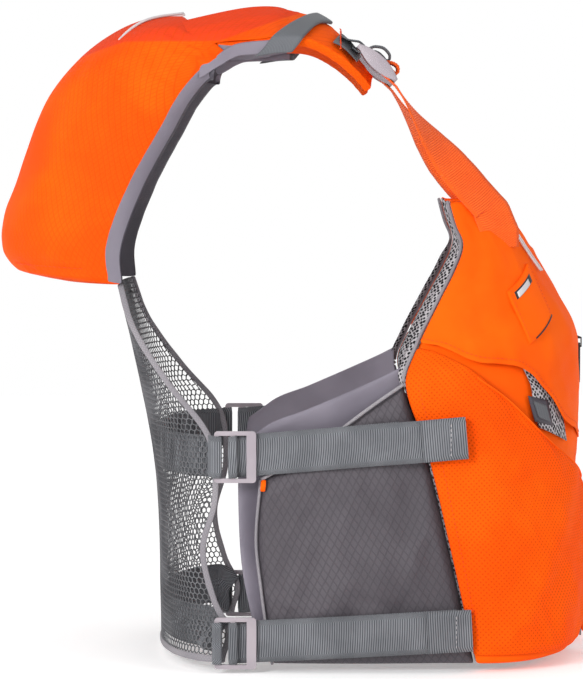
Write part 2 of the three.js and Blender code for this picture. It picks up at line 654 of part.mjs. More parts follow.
function sleevePoint(w, t, depth) {
  const place = (across, run) => {
    const start = padPoint(-mix(0.88, 0.42, across), 1, 0).add(vec(0, -gap - 1.6, 0));
    const shape = sleeveOuter.getPoint(run).lerp(sleeveInner.getPoint(run), across);
    shape.add(vec(0, 0, 3 * Math.sin(Math.PI * across)));
    return shape.lerp(start, 1 - THREE.MathUtils.smoothstep(run, 0, 0.16));
  };
  const run = THREE.MathUtils.clamp(t, 0.02, 0.98);
  const across = THREE.MathUtils.clamp(w, 0.02, 0.98);
  const side = place(across + 0.02, run).sub(place(across - 0.02, run));
  const along = place(across, run + 0.02).sub(place(across, run - 0.02));
  const normal = vec(0, 0, 0).crossVectors(side, along).normalize();
  if (normal.z < 0) normal.negate();
  normal.lerp(vec(0, 0, 1), 1 - THREE.MathUtils.smoothstep(t, 0, 0.25)).normalize();
  return place(w, t).addScaledVector(normal, -depth);
}

function addShoulders() {
  const thick = (w, t) => shoulderThick * mix(1, 0.7, t) * mix(0.75, 1, hump(mix(0.1, 0.9, w)));
  addPair('shoulder_pad', slab(6, 16, (w, t) => sleevePoint(w, t, 0),
    (w, t) => sleevePoint(w, t, thick(w, t))), orange);
  const band = (w, q, depth) => sleevePoint(w, mix(0.27, 0.5, w) + mix(0, 0.13, q), depth);
  addPair('shoulder_band', slab(8, 3, (w, q) => band(w, q, -gap - 0.8),
    (w, q) => band(w, q, -gap)), reflective);
}

// Shoulder adjuster: its plate slopes down to the front; d runs down the slope, n away from it
const adjuster = { length: 44, barRear: 4, barMiddle: 4, barFront: 7, slopeDegrees: 43 };
const slope = THREE.MathUtils.degToRad(adjuster.slopeDegrees);
const down = vec(0, -Math.cos(slope), -Math.sin(slope));
const away = vec(0, -Math.sin(slope), Math.cos(slope));
const adjusterAt = vec(-86, -73.5, -13);
const adjusterPlace = (d, n) => adjusterAt.clone().addScaledVector(down, d).addScaledVector(away, n);

function addAdjusters() {
  const { length, barRear, barMiddle, barFront } = adjuster;
  const window = (length - barRear - barMiddle - barFront) / 2;
  const inside = shoulderWebWidth + 2 * gap;
  const shape = roundedBox(length, inside + 2 * buckleRim, 4);
  const rearWindow = -length / 2 + barRear + window / 2;
  const frontWindow = length / 2 - barFront - window / 2;
  shape.holes.push(boxHole(rearWindow, 0, window, inside));
  shape.holes.push(boxHole(frontWindow, 0, window, inside + gap));
  const plate = extruded(shape, buckleThick).translate(0, 0, -buckleThick / 2);
  plate.applyMatrix4(new THREE.Matrix4().makeBasis(down, vec(1, 0, 0).negate(), away));
  addPair('shoulder_adjuster', indexed(plate.translate(adjusterAt.x, adjusterAt.y, adjusterAt.z)),
    buckleGrey);

  // Anchor ribbon: from the sleeve, round the rear bar, back on to itself
  const side = vec(1, 0, 0);
  const over = buckleThick / 2 + gap + webThick / 2;
  const rearBar = -length / 2 + barRear / 2;
  const wrap = barRear / 2 + turnRoom + webThick / 2;
  const loop = buckleThick / 2 + turnRoom + webThick / 2;
  const anchor = [[rearBar - wrap - 14, -over - 0.4], [rearBar - wrap - 8, -over + 1],
    [rearBar - wrap, loop], [rearBar + wrap, loop], [rearBar + wrap, -loop],
    [rearBar - wrap - 1, -loop - 1]];
  const anchorPoints = anchor.map(([d, n]) => adjusterPlace(d, n));
  addPair('shoulder_anchor', ribbon(anchorPoints, anchorPoints.map(() => side), 24, webThick),
    reflective);

  // Webbing: short tail, over the middle bar, under the front bar and down to the chest
  const middle = rearWindow + window / 2 + barMiddle / 2;
  const around = barMiddle / 2 + gap + webThick / 2;
  const chest = frontPoint(0.66, -152, gap + webThick / 2);
  const chestUp = frontPoint(0.64, -138, gap + webThick / 2 + 3);
  const chestSide = frontPoint(0.8, -150, 0).sub(frontPoint(0.5, -158, 0)).negate();
  const points = [
    adjusterPlace(middle + around + 12, over - 0.4), adjusterPlace(middle + around, over),
    adjusterPlace(middle - around, over), adjusterPlace(middle - around, -over),
    adjusterPlace(length / 2 + 3, -over),
  ];
  const widths = points.map(() => side.clone());
  const start = points[points.length - 1];
  for (const t of [0.2, 0.4, 0.6, 0.8]) {
    points.push(start.clone().lerp(chestUp, t).add(vec(0, -5 * Math.sin(Math.PI * t), 0)));
    widths.push(side.clone().lerp(chestSide.clone().normalize(), THREE.MathUtils.smoothstep(t, 0, 1)));
  }
  points.push(chestUp, chest);
  widths.push(chestSide.clone(), chestSide.clone());
  addPair('shoulder_webbing', ribbon(points, widths, shoulderWebWidth, webThick), orangeWeb);
}

addBackPad();
addMesh();
addFront();
addPockets();
addFrontZip();
addPocketZips();
addLashTabs();
addWings();
addSides();
addShoulders();
addAdjusters();

export default model;
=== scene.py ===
import json
import math
import bpy
import numpy as np
from mathutils import Matrix, Vector, noise

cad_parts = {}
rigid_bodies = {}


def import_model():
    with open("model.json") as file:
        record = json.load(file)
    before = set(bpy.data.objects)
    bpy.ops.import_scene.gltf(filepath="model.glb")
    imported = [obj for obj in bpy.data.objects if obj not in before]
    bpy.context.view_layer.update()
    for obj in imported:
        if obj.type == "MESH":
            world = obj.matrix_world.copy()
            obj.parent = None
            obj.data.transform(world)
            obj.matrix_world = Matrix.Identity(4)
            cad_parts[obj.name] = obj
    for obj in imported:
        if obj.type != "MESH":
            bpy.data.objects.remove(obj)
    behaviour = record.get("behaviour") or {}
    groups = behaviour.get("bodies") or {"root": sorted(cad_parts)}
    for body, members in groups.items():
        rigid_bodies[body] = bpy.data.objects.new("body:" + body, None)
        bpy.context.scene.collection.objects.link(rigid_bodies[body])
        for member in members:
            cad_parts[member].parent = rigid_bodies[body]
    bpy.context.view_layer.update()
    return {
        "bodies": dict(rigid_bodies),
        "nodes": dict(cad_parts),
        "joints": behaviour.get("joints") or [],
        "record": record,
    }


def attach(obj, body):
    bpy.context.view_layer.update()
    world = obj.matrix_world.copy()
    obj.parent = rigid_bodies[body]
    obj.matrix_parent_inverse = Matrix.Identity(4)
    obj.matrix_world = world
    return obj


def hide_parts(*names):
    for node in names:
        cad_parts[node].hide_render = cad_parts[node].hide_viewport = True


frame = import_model()
nodes = frame["nodes"]
scene = bpy.context.scene

# camera: stands on the wearer's right, a little above the middle of the jacket
camera = {"azimuth": 270.5, "height": 3.0, "distance": 3.0, "lens": 210.5, "target": (0, 0, -0.2526)}


def placeCamera():
    turn, lift = math.radians(camera["azimuth"]), math.radians(camera["height"])
    back = Vector((math.sin(turn) * math.cos(lift), -math.cos(turn) * math.cos(lift), math.sin(lift)))
    data = bpy.data.cameras.new("viewCamera")
    data.lens, data.sensor_width, data.sensor_fit = camera["lens"], 36, "HORIZONTAL"
    data.clip_end = 20
    eye = bpy.data.objects.new("viewCamera", data)
    eye.location = Vector(camera["target"]) + back * camera["distance"]
    eye.rotation_euler = (-back).to_track_quat("-Z", "Y").to_euler()
    scene.collection.objects.link(eye)
    scene.camera = eye


placeCamera()

# studio: a white room, a soft key light from the rear side, a weak fill light from the front
studio = {"room": 0.72, "key": 34, "fill": 6, "floorHeight": -0.5215, "floorGlow": 0.2, "wallAway": 3200,
          "wallReach": 3000, "wallFoot": -523}


def areaLight(name, place, target, size, power):
    data = bpy.data.lights.new(name, "AREA")
    data.shape, data.size, data.energy = "DISK", size, power
    lamp = bpy.data.objects.new(name, data)
    lamp.location = place
    lamp.rotation_euler = (Vector(target) - Vector(place)).to_track_quat("-Z", "Y").to_euler()
    scene.collection.objects.link(lamp)


def buildStudio():
    world = bpy.data.worlds.new("studioRoom")
    world.use_nodes = True
    world.node_tree.nodes["Background"].inputs["Color"].default_value = (1, 1, 1, 1)
    world.node_tree.nodes["Background"].inputs["Strength"].default_value = studio["room"]
    scene.world = world
    areaLight("keyLight", (-1.9, 1.15, 0.35), (0, -0.02, -0.25), 0.8, studio["key"])
    areaLight("fillLight", (-1.2, -1.8, 0.6), (0, 0, -0.25), 0.9, studio["fill"])
    scene.view_settings.view_transform = "Standard"


buildStudio()


# small maths
def mix(a, b, t):
    return a + (b - a) * t


def clamp(x, low, high):
    return max(low, min(high, x))


def ease(x, start, end):
    t = clamp((x - start) / (end - start), 0, 1)
    return t * t * (3 - 2 * t)


def hump(t, power=0.5):
    return max(0.0, math.sin(math.pi * t)) ** power


def track(pairs):  # smooth curve through [place, value] pairs
    def at(place):
        last = len(pairs) - 1
        if place <= pairs[0][0]:
            return pairs[0][1]
        if place >= pairs[last][0]:
            return pairs[last][1]
        i = next(k for k in range(last) if place <= pairs[k + 1][0])
        a, b = pairs[i], pairs[i + 1]
        before, after = pairs[max(0, i - 1)], pairs[min(last, i + 2)]
        span = b[0] - a[0]
        t = (place - a[0]) / span
        slopeA = (b[1] - before[1]) / (b[0] - before[0]) * span
        slopeB = (after[1] - a[1]) / (after[0] - a[0]) * span
        t2, t3 = t * t, t * t * t
        return ((2 * t3 - 3 * t2 + 1) * a[1] + (t3 - 2 * t2 + t) * slopeA
                + (3 * t2 - 2 * t3) * b[1] + (t3 - t2) * slopeB)
    return at


def curve3(points):  # centripetal curve through 3-D points, parameter 0 to 1
    points = [Vector(p) for p in points]

    def at(t):
        count = len(points)
        place = (count - 1) * clamp(t, 0, 1)
        i = min(int(place), count - 2)
        w = place - i
        p1, p2 = points[i], points[i + 1]
        p0 = points[i - 1] if i > 0 else points[0] * 2 - points[1]
        p3 = points[i + 2] if i + 2 < count else points[-1] * 2 - points[-2]
        d0 = max((p1 - p0).length ** 0.5, 1e-4)
        d1 = max((p2 - p1).length ** 0.5, 1e-4)
        d2 = max((p3 - p2).length ** 0.5, 1e-4)
        t1 = ((p1 - p0) / d0 - (p2 - p0) / (d0 + d1) + (p2 - p1) / d1) * d1
        t2 = ((p2 - p1) / d1 - (p3 - p1) / (d1 + d2) + (p3 - p2) / d2) * d1
        return p1 + t1 * w + (p1 * -3 + p2 * 3 - t1 * 2 - t2) * w * w + (p1 * 2 - p2 * 2 + t1 + t2) * w ** 3
    return at


def ripple(p, scale, seed=0.0):  # smooth wandering value, about -1 to 1, at a point in millimetres
    return noise.noise(Vector((p[0] / scale + seed, p[1] / scale - seed, p[2] / scale + 3.1 * seed)))


# mesh making; points are in millimetres and become metres here
def makeObject(name, points, faces, faceKinds, faceUvs, materials, smooth=True):
    mesh = bpy.data.meshes.new(name)
    mesh.from_pydata([(p[0] / 1000, p[1] / 1000, p[2] / 1000) for p in points], [], faces)
    for m in materials:
        mesh.materials.append(m)
    uvLayer = mesh.uv_layers.new(name="cut")
    flat = []
    for uv in faceUvs:
        for a, b in uv:
            flat += [a / 1000, b / 1000]
    uvLayer.data.foreach_set("uv", flat)
    mesh.polygons.foreach_set("material_index", faceKinds)
    mesh.polygons.foreach_set("use_smooth", [smooth] * len(faces))
    mesh.update()
    piece = bpy.data.objects.new(name, mesh)
    scene.collection.objects.link(piece)
    return piece


def gridUvs(points, cols, rows):  # distances along rows and columns, in millimetres
    grid = np.array([tuple(p) for p in points]).reshape(rows + 1, cols + 1, 3)
    du = np.linalg.norm(np.diff(grid, axis=1), axis=2)
    dv = np.linalg.norm(np.diff(grid, axis=0), axis=2)
    u = np.concatenate([np.zeros((rows + 1, 1)), np.cumsum(du, 1)], 1)
    v = np.concatenate([np.zeros((1, cols + 1)), np.cumsum(dv, 0)], 0)
    u = u - u[:, -1:] / 2
    return u, v


# a closed slab between two point functions of (s, t); kinds: outer, inner, first row, last row, first
# column, last column
def slab(name, cols, rows, outer, inner, materials, kinds=(0, 1, 0, 0, 0, 0)):
    points, uvs = [], []
    for side in (outer, inner):
        layer = [side(i / cols, j / rows) for j in range(rows + 1) for i in range(cols + 1)]
        points += layer
        uvs.append(gridUvs(layer, cols, rows))
    count = (cols + 1) * (rows + 1)
    faces, faceKinds, faceUvs = [], [], []

    def at(i, j, layer):
        return layer * count + j * (cols + 1) + i

    def uvAt(i, j, layer, depth=0):
        return (uvs[layer][0][j][i], uvs[layer][1][j][i] + depth)

    for j in range(rows):
        for i in range(cols):
            ring = [(i, j), (i + 1, j), (i + 1, j + 1), (i, j + 1)]
            faces.append([at(a, b, 0) for a, b in ring])
            faceUvs.append([uvAt(a, b, 0) for a, b in ring])
            faceKinds.append(kinds[0])
            ring = ring[::-1]
            faces.append([at(a, b, 1) for a, b in ring])
            faceUvs.append([uvAt(a, b, 1) for a, b in ring])
            faceKinds.append(kinds[1])
    for i in range(cols):
        for j, kind, order in ((0, 2, 1), (rows, 3, -1)):
            ring = [(i, j, 0), (i, j, 1), (i + 1, j, 1), (i + 1, j, 0)][::order]
            faces.append([at(*p) for p in ring])
            faceUvs.append([uvAt(p[0], p[1], 0, 12 * p[2]) for p in ring])
            faceKinds.append(kinds[kind])
    for j in range(rows):
        for i, kind, order in ((0, 4, 1), (cols, 5, -1)):
            ring = [(i, j, 0), (i, j + 1, 0), (i, j + 1, 1), (i, j, 1)][::order]
            faces.append([at(*p) for p in ring])
            faceUvs.append([(uvs[0][1][p[1]][p[0]], 12 * p[2]) for p in ring])
            faceKinds.append(kinds[kind])
    volume = 0.0
    coords = np.array([tuple(p) for p in points])
    for f in faces:
        a, b, c, d = coords[f[0]], coords[f[1]], coords[f[2]], coords[f[3]]
        volume += np.dot(a, np.cross(b, c)) + np.dot(a, np.cross(c, d))
    if volume < 0:
        faces = [f[::-1] for f in faces]
        faceUvs = [f[::-1] for f in faceUvs]
    piece = makeObject(name, points, faces, faceKinds, faceUvs, materials)
    piece["cols"], piece["rows"] = cols, rows
    return piece


def subdivide(piece, levels=1):
    modifier = piece.modifiers.new("smoother", "SUBSURF")
    modifier.levels = modifier.render_levels = levels
    return piece


def bevel(piece, width, segments=2):
    modifier = piece.modifiers.new("softEdges", "BEVEL")
    modifier.width, modifier.segments = width / 1000, segments
    modifier.limit_method, modifier.angle_limit = "ANGLE", math.radians(35)
    return piece


def mirrored(piece, name):  # the same piece for the wearer's left
    mesh = piece.data.copy()
    mesh.transform(Matrix.Scale(-1, 4, (1, 0, 0)))
    mesh.flip_normals()
    twin = bpy.data.objects.new(name, mesh)
    scene.collection.objects.link(twin)
    for old in piece.modifiers:
        new = twin.modifiers.new(old.name, old.type)
        for key in ("levels", "render_levels", "width", "segments", "limit_method", "angle_limit"):
            if hasattr(old, key):
                setattr(new, key, getattr(old, key))
    return twin


def settle(piece, body="jacket", stands=()):
    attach(piece, body)
    if stands:
        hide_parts(*stands)
    return piece


# measures a sheet's flat width on the surface that smoothAt gives, which leaves out most folds; the width is
# not kept
def cutCloth(piece, smoothAt):
    steps = 24
    grid = [[smoothAt(i / steps, j / steps) for i in range(steps + 1)] for j in range(steps + 1)]
    wide = max(sum((b - a).length for a, b in zip(row, row[1:])) for row in grid)


def settlePair(piece, base, body="jacket", stands=()):  # the right side piece and its mirrored twin
    twin = mirrored(piece, base + "_left")
    for side, one in (("right", piece), ("left", twin)):
        home = body if body == "jacket" else f"{body}_{side}"
        settle(one, home, [f"{n}_{side}" for n in stands])
    return piece, twin


# blow a closed piece up as cloth; hold gives each point's grip from 0, free, to 1, fixed
def puff(piece, hold, values):
    mesh = piece.data
    start = np.array([v.co[:] for v in mesh.vertices])
    group = piece.vertex_groups.new(name="hold")
    for i, grip in enumerate(hold):
        group.add([i], float(grip), "REPLACE")
    cloth = piece.modifiers.new("puff", "CLOTH")
    c = cloth.settings
    c.quality, c.mass = 4, 0.2
    c.tension_stiffness = c.compression_stiffness = values.get("tension", 12)
    c.shear_stiffness, c.bending_stiffness = values.get("shear", 4), values.get("bending", 0.4)
    c.vertex_group_mass = "hold"
    c.use_pressure, c.uniform_pressure_force = True, values["pressure"]
    c.shrink_min = -values["slack"]
    c.effector_weights.gravity = 0
    cloth.collision_settings.use_collision = False
    cloth.point_cache.frame_start, cloth.point_cache.frame_end = 1, values["frames"]
    for f in range(1, values["frames"] + 1):
        scene.frame_set(f)
    solved = piece.evaluated_get(bpy.context.evaluated_depsgraph_get())
    end = np.array([v.co[:] for v in solved.data.vertices])
    move = end - start
    reach = np.linalg.norm(move, axis=1, keepdims=True)
    cap = values["cap"] / 1000
    move = move * (cap * np.tanh(reach / cap) / np.maximum(reach, 1e-9))
    out = np.array([v.normal[:] for v in mesh.vertices])
    rise = (move * out).sum(1, keepdims=True)
    move = move + out * (np.maximum(rise, -values.get("sink", 0.3) / 1000) - rise)
    piece.modifiers.remove(cloth)
    piece.vertex_groups.clear()
    scene.frame_set(1)
    mesh.vertices.foreach_set("co", (start + move).ravel())
    mesh.update()
    print(f"{piece.name} blown up, largest move {1000 * float(np.max(np.linalg.norm(move, axis=1))):.1f} mm")


def paintFaces(piece, old, new, test):  # another cloth where the test of a face's middle, in metres, holds
    for face in piece.data.polygons:
        if face.material_index == old and test(face.center):
            face.material_index = new


# grip for a slab: fixed rim, free outer face, inner face as given
def slabHold(cols, rows, edge=1, inner=1.0):
    hold = []
    for layer in (0, 1):
        for j in range(rows + 1):
            for i in range(cols + 1):
                far = min(i, cols - i, j, rows - j)
                grip = 1.0 if far < edge else 0.0
                hold.append(max(grip, inner) if layer else grip)
    return hold


# webbing with woven ribs, along a rounded path
def roundPath(points, spacing, radius=2.0):
    points = [Vector(p) for p in points]
    path = [points[0]]
    for i in range(1, len(points) - 1):
        a, b, c = points[i - 1], points[i], points[i + 1]
        cut = min(radius, (b - a).length * 0.45, (c - b).length * 0.45)
        start, end = b + (a - b).normalized() * cut, b + (c - b).normalized() * cut
        for k in range(5):
            t = k / 4
            path.append(start * (1 - t) ** 2 + b * 2 * t * (1 - t) + end * t * t)
    path.append(points[-1])
    lengths = [0.0]
    for a, b in zip(path, path[1:]):
        lengths.append(lengths[-1] + (b - a).length)
    count = max(4, int(lengths[-1] / spacing))
    found, k = [], 0
    for i in range(count + 1):
        want = lengths[-1] * i / count
        while k < len(lengths) - 2 and lengths[k + 1] < want:
            k += 1
        span = lengths[k + 1] - lengths[k]
        t = (want - lengths[k]) / span if span > 1e-9 else 0
        found.append((path[k].lerp(path[k + 1], t), want / lengths[-1]))
    return found


def webbing(name, points, acrossAt, values, materials):
    width, thick, rib = values["width"], values["thick"], values["rib"]
    path = roundPath(points, values["spacing"], values.get("round", 2.0))
    places = [p for p, _ in path]
    cols = values.get("cols", 8)
    rows = len(path) - 1
    outer, inner = [], []
    distance = 0.0
    for i, (p, t) in enumerate(path):
        if i:
            distance += (p - places[i - 1]).length
        along = (places[min(rows, i + 1)] - places[max(0, i - 1)]).normalized()
        across = acrossAt(t)
        across = (across - along * across.dot(along)).normalized()
        face = across.cross(along).normalized()
        wave = values.get("depth", 0.22) * math.cos(2 * math.pi * distance / rib)
        sway = values.get("sway", 0) * noise.noise(Vector((distance / 45, values.get("seed", 1.7), 0)))
        for k in range(cols + 1):
            w = mix(-0.5, 0.5, k / cols)
            edge = 1 - 0.55 * ease(abs(w), 0.44, 0.5)
            crown = values.get("crown", 0) * (1 - 4 * w * w)
            half = thick / 2 * edge
            base = p + across * (w * width) + face * (crown + sway)
            outer.append(base + face * (half + wave * edge))
            inner.append(base - face * (half + wave * edge))
    def pick(layer):
        return lambda s, t: layer[round(t * rows) * (cols + 1) + round(s * cols)]
    return slab(name, cols, rows, pick(outer), pick(inner), materials, (0, 0, 0, 0, 0, 0))


def tube(name, points, radius, material, sides=8, spacing=2.0):
    path = [p for p, _ in roundPath(points, spacing, 6)]
    rings, faces, uvs, kinds = [], [], [], []
    up = Vector((0.31, 0.22, 0.92))
    distance = 0.0
    for i, p in enumerate(path):
        along = (path[min(len(path) - 1, i + 1)] - path[max(0, i - 1)]).normalized()
        a = along.cross(up).normalized()
        b = along.cross(a).normalized()
        for k in range(sides):
            turn = 2 * math.pi * k / sides
            rings.append(p + (a * math.cos(turn) + b * math.sin(turn)) * radius)
    for i in range(len(path) - 1):
        distance += (path[i + 1] - path[i]).length
        for k in range(sides):
            n = (k + 1) % sides
            faces.append([i * sides + k, i * sides + n, (i + 1) * sides + n, (i + 1) * sides + k])
            uvs.append([(k, distance), (k + 1, distance), (k + 1, distance + 1), (k, distance + 1)])
            kinds.append(0)
    for ring, start in ((list(range(sides))[::-1], 0), (list(range(sides)), (len(path) - 1) * sides)):
        faces.append([start + k for k in ring])
        uvs.append([(0, 0)] * sides)
        kinds.append(0)
    return makeObject(name, rings, faces, kinds, uvs, [material])


def flatTube(name, points, thick, wide, material, upright=False):  # a folded tape round an edge
    path = [p for p, _ in roundPath(points, 3.0, 8)]
    rings, faces, uvs, kinds = [], [], [], []
    sides = 12
    distance = 0.0
    for i, p in enumerate(path):
        along = (path[min(len(path) - 1, i + 1)] - path[max(0, i - 1)]).normalized()
        broad = Vector((0, 0, 1)) if upright else Vector((0, 1, 0)) - along * along.y
        broad = (broad - along * broad.dot(along)).normalized()
        other = along.cross(broad).normalized()
        swell = 1 + 0.12 * noise.noise(Vector((i / 5, 2.2, 0)))
        for k in range(sides):
            turn = 2 * math.pi * k / sides
            c, s = math.cos(turn), math.sin(turn)
            rings.append(p + broad * (math.copysign(abs(c) ** 0.7, c) * wide / 2 * swell)
                         + other * (math.copysign(abs(s) ** 0.7, s) * thick / 2 * swell))
    for i in range(len(path) - 1):
        step = (path[i + 1] - path[i]).length
        for k in range(sides):
            n = (k + 1) % sides
            faces.append([i * sides + k, i * sides + n, (i + 1) * sides + n, (i + 1) * sides + k])
            uvs.append([(k, distance), (k + 1, distance), (k + 1, distance + step), (k, distance + step)])
            kinds.append(0)
        distance += step
    faces += [list(range(sides))[::-1], [(len(path) - 1) * sides + k for k in range(sides)]]
    uvs += [[(0, 0)] * sides] * 2
    kinds += [0, 0]
    return subdivide(makeObject(name, rings, faces, kinds, uvs, [material]))


def stitches(name, points, outAt, material, length=2.6, space=1.3, radius=0.32, lift=0.25):
    path = roundPath(points, 0.4, 6)
    places = [p for p, _ in path]
    step = (length + space) / 0.4
    shapes, faces, uvs, kinds = [], [], [], []
    i = 0.0
    while int(i + length / 0.4) < len(places) - 1:
        a, b = places[int(i)], places[int(i + length / 0.4)]
        out = outAt((a + b) / 2)
        along = (b - a).normalized()
        side = along.cross(out).normalized()
        start = len(shapes)
        for t, size, rise in ((0, 0.35, -0.2), (0.25, 1, 0), (0.75, 1, 0), (1, 0.35, -0.2)):
            centre = a.lerp(b, t) + out * (lift + rise * 0.9)
            for cs, sn in ((1, 0), (0.5, 0.87), (-0.5, 0.87), (-1, 0), (-0.5, -0.87), (0.5, -0.87)):
                shapes.append(centre + side * (cs * radius * size) + out * (sn * radius * size))
        for k in range(3):
            for m in range(6):
                n = (m + 1) % 6
                faces.append([start + k * 6 + m, start + k * 6 + n, start + k * 6 + 6 + n,
                              start + k * 6 + 6 + m])
                uvs.append([(0, 0)] * 4)
                kinds.append(0)
        faces.append([start + m for m in range(5, -1, -1)])
        faces.append([start + 18 + m for m in range(6)])
        uvs += [[(0, 0)] * 6] * 2
        kinds += [0, 0]
        i += step
    return makeObject(name, shapes, faces, kinds, uvs, [material])


# material nodes
def colour(code):  # screen colour code to the shader's linear values
    parts = [int(code[i:i + 2], 16) / 255 for i in (0, 2, 4)]
    return tuple(c / 12.92 if c <= 0.04045 else ((c + 0.055) / 1.055) ** 2.4 for c in parts) + (1,)


def newMaterial(name, rough, sheen=0.0, metal=0.0, specular=0.3):
    material = bpy.data.materials.new(name)
    material.use_nodes = True
    shader = material.node_tree.nodes["Principled BSDF"]
    shader.inputs["Roughness"].default_value = rough
    shader.inputs["Metallic"].default_value = metal
    shader.inputs["Specular IOR Level"].default_value = specular
    if sheen:
        shader.inputs["Sheen Weight"].default_value = sheen
        shader.inputs["Sheen Roughness"].default_value = 0.5
    return material, material.node_tree, shader


def calc(tree, operation, a, b=None, clampIt=False):
    n = tree.nodes.new("ShaderNodeMath")
    n.operation, n.use_clamp = operation, clampIt
    for i, value in enumerate((a, b)):
        if value is None:
            continue
        if isinstance(value, (int, float)):
            n.inputs[i].default_value = value
        else:
            tree.links.new(value, n.inputs[i])
    return n.outputs[0]


def cutPlace(tree, turn=0.0):  # place on the cut cloth, in metres, turned by an angle
    where = tree.nodes.new("ShaderNodeUVMap")
    where.uv_map = "cut"
    spin = tree.nodes.new("ShaderNodeMapping")
    spin.inputs["Rotation"].default_value = (0, 0, math.radians(turn))
    tree.links.new(where.outputs[0], spin.inputs["Vector"])
    parts = tree.nodes.new("ShaderNodeSeparateXYZ")
    tree.links.new(spin.outputs[0], parts.inputs[0])
    return spin.outputs[0], parts.outputs[0], parts.outputs[1]


def fade(tree, value, low, high, toLow=0.0, toHigh=1.0):
    n = tree.nodes.new("ShaderNodeMapRange")
    n.interpolation_type = "SMOOTHSTEP"
    tree.links.new(value, n.inputs["Value"])
    for key, number in (("From Min", low), ("From Max", high), ("To Min", toLow), ("To Max", toHigh)):
        n.inputs[key].default_value = number
    return n.outputs[0]


def lines(tree, place, pitch, width):  # 1 on thin lines a pitch apart
    folded = calc(tree, "PINGPONG", calc(tree, "MULTIPLY", place, 1 / pitch), 0.5)
    return fade(tree, folded, 0, width / pitch, 1, 0)


def wave(tree, place, pitch):
    return calc(tree, "SINE", calc(tree, "MULTIPLY", place, 2 * math.pi / pitch))


def cloud(tree, scale, detail=3):
    where = tree.nodes.new("ShaderNodeTexCoord")
    n = tree.nodes.new("ShaderNodeTexNoise")
    n.inputs["Scale"].default_value = scale
    n.inputs["Detail"].default_value = detail
    tree.links.new(where.outputs["Object"], n.inputs["Vector"])
    return n.outputs["Fac"]


def blendColours(tree, amount, first, second):
    n = tree.nodes.new("ShaderNodeMix")
    n.data_type = "RGBA"
    if isinstance(amount, (int, float)):
        n.inputs["Factor"].default_value = amount
    else:
        tree.links.new(amount, n.inputs["Factor"])
    for key, value in (("A", first), ("B", second)):
        socket = [s for s in n.inputs if s.name == key and s.type == "RGBA"][0]
        if isinstance(value, tuple):
            socket.default_value = value
        else:
            tree.links.new(value, socket)
    return [s for s in n.outputs if s.type == "RGBA"][0]


def bump(tree, shader, height, distance, strength=0.8):
    n = tree.nodes.new("ShaderNodeBump")
    n.inputs["Distance"].default_value = distance
    n.inputs["Strength"].default_value = strength
    tree.links.new(height, n.inputs["Height"])
    tree.links.new(n.outputs[0], shader.inputs["Normal"])


# woven cloth; ripstop has heavier threads on a slanted grid
def clothMaterial(name, main, shade, rough=0.62, grid=0.0, gridTone=None, sheen=0.0, weave=0.0007, holes=0.0,
                  gridWidth=0.0006, specular=0.35, top=None):
    material, tree, shader = newMaterial(name, rough, sheen, 0, specular)
    _, x, y = cutPlace(tree)
    base = blendColours(tree, fade(tree, cloud(tree, 14), 0.35, 0.65), colour(main), colour(shade))
    height = calc(tree, "MULTIPLY", wave(tree, x, weave), wave(tree, y, weave))
    height = calc(tree, "MULTIPLY", height, 0.25)
    if top:  # painted shade: the upward faces on top of the shoulders and pad turn a darker red, as they get less light; its edge falls towards the back
        where = tree.nodes.new("ShaderNodeTexCoord")
        parts = tree.nodes.new("ShaderNodeSeparateXYZ")
        tree.links.new(where.outputs["Object"], parts.inputs[0])
        aheadOf = calc(tree, "MAXIMUM", calc(tree, "SUBTRACT", 0.06, parts.outputs[1]), 0)
        behind = calc(tree, "MAXIMUM", calc(tree, "SUBTRACT", parts.outputs[1], 0.142), 0)
        edge = calc(tree, "SUBTRACT", calc(tree, "MULTIPLY", aheadOf, 0.36),
                    calc(tree, "MULTIPLY", behind, 0.3))
        shadedTopMask = calc(tree, "SUBTRACT", parts.outputs[2], calc(tree, "ADD", edge, 0.006))
        base = blendColours(tree, fade(tree, shadedTopMask, -0.001, 0.0015), base, colour(top))
    if grid:
        _, a, _ = cutPlace(tree, 32)
        _, b, _ = cutPlace(tree, -32)
        net = calc(tree, "MAXIMUM", lines(tree, a, grid, gridWidth), lines(tree, b, grid, gridWidth))
        base = blendColours(tree, calc(tree, "MULTIPLY", net, 0.55), base, colour(gridTone or shade))
        height = calc(tree, "ADD", height, calc(tree, "MULTIPLY", net, 0.6))
    if holes:
        spin, _, _ = cutPlace(tree, 45)
        cell = tree.nodes.new("ShaderNodeTexVoronoi")
        cell.inputs["Scale"].default_value = 1 / holes
        cell.inputs["Randomness"].default_value = 0
        tree.links.new(spin, cell.inputs["Vector"])
        dot = fade(tree, cell.outputs["Distance"], 0.16, 0.3, 1, 0)
        base = blendColours(tree, calc(tree, "MULTIPLY", dot, 0.55), base, colour(gridTone or shade))
        height = calc(tree, "SUBTRACT", height, dot)
    tree.links.new(base, shader.inputs["Base Color"])
    bump(tree, shader, height, 0.0004, 0.7)
    return material


def webMaterial(name, main, grooveShadeAndMottle, rib, rough=0.8):  # the rib matches the rib of the webbing's mesh; the groove colour is painted shade between the ribs and also a random mottle
    material, tree, shader = newMaterial(name, rough, 0.1, 0, 0.2)
    _, x, y = cutPlace(tree)
    # painted shade: the grooves between the ribs are darkened towards the groove colour
    grooveShadeMask = fade(tree, wave(tree, calc(tree, "ADD", y, rib / 4), rib), -0.9, 0.5, 1, 0)
    base = blendColours(tree, calc(tree, "MULTIPLY", grooveShadeMask, 0.8), colour(main), colour(grooveShadeAndMottle))
    tone = fade(tree, cloud(tree, 30), 0.3, 0.7, 0, 0.3)
    base = blendColours(tree, tone, base, colour(grooveShadeAndMottle))
    tree.links.new(base, shader.inputs["Base Color"])
    fine = calc(tree, "MULTIPLY", wave(tree, x, 0.0012), wave(tree, y, rib / 2))
    bump(tree, shader, fine, 0.0002, 0.6)
    return material


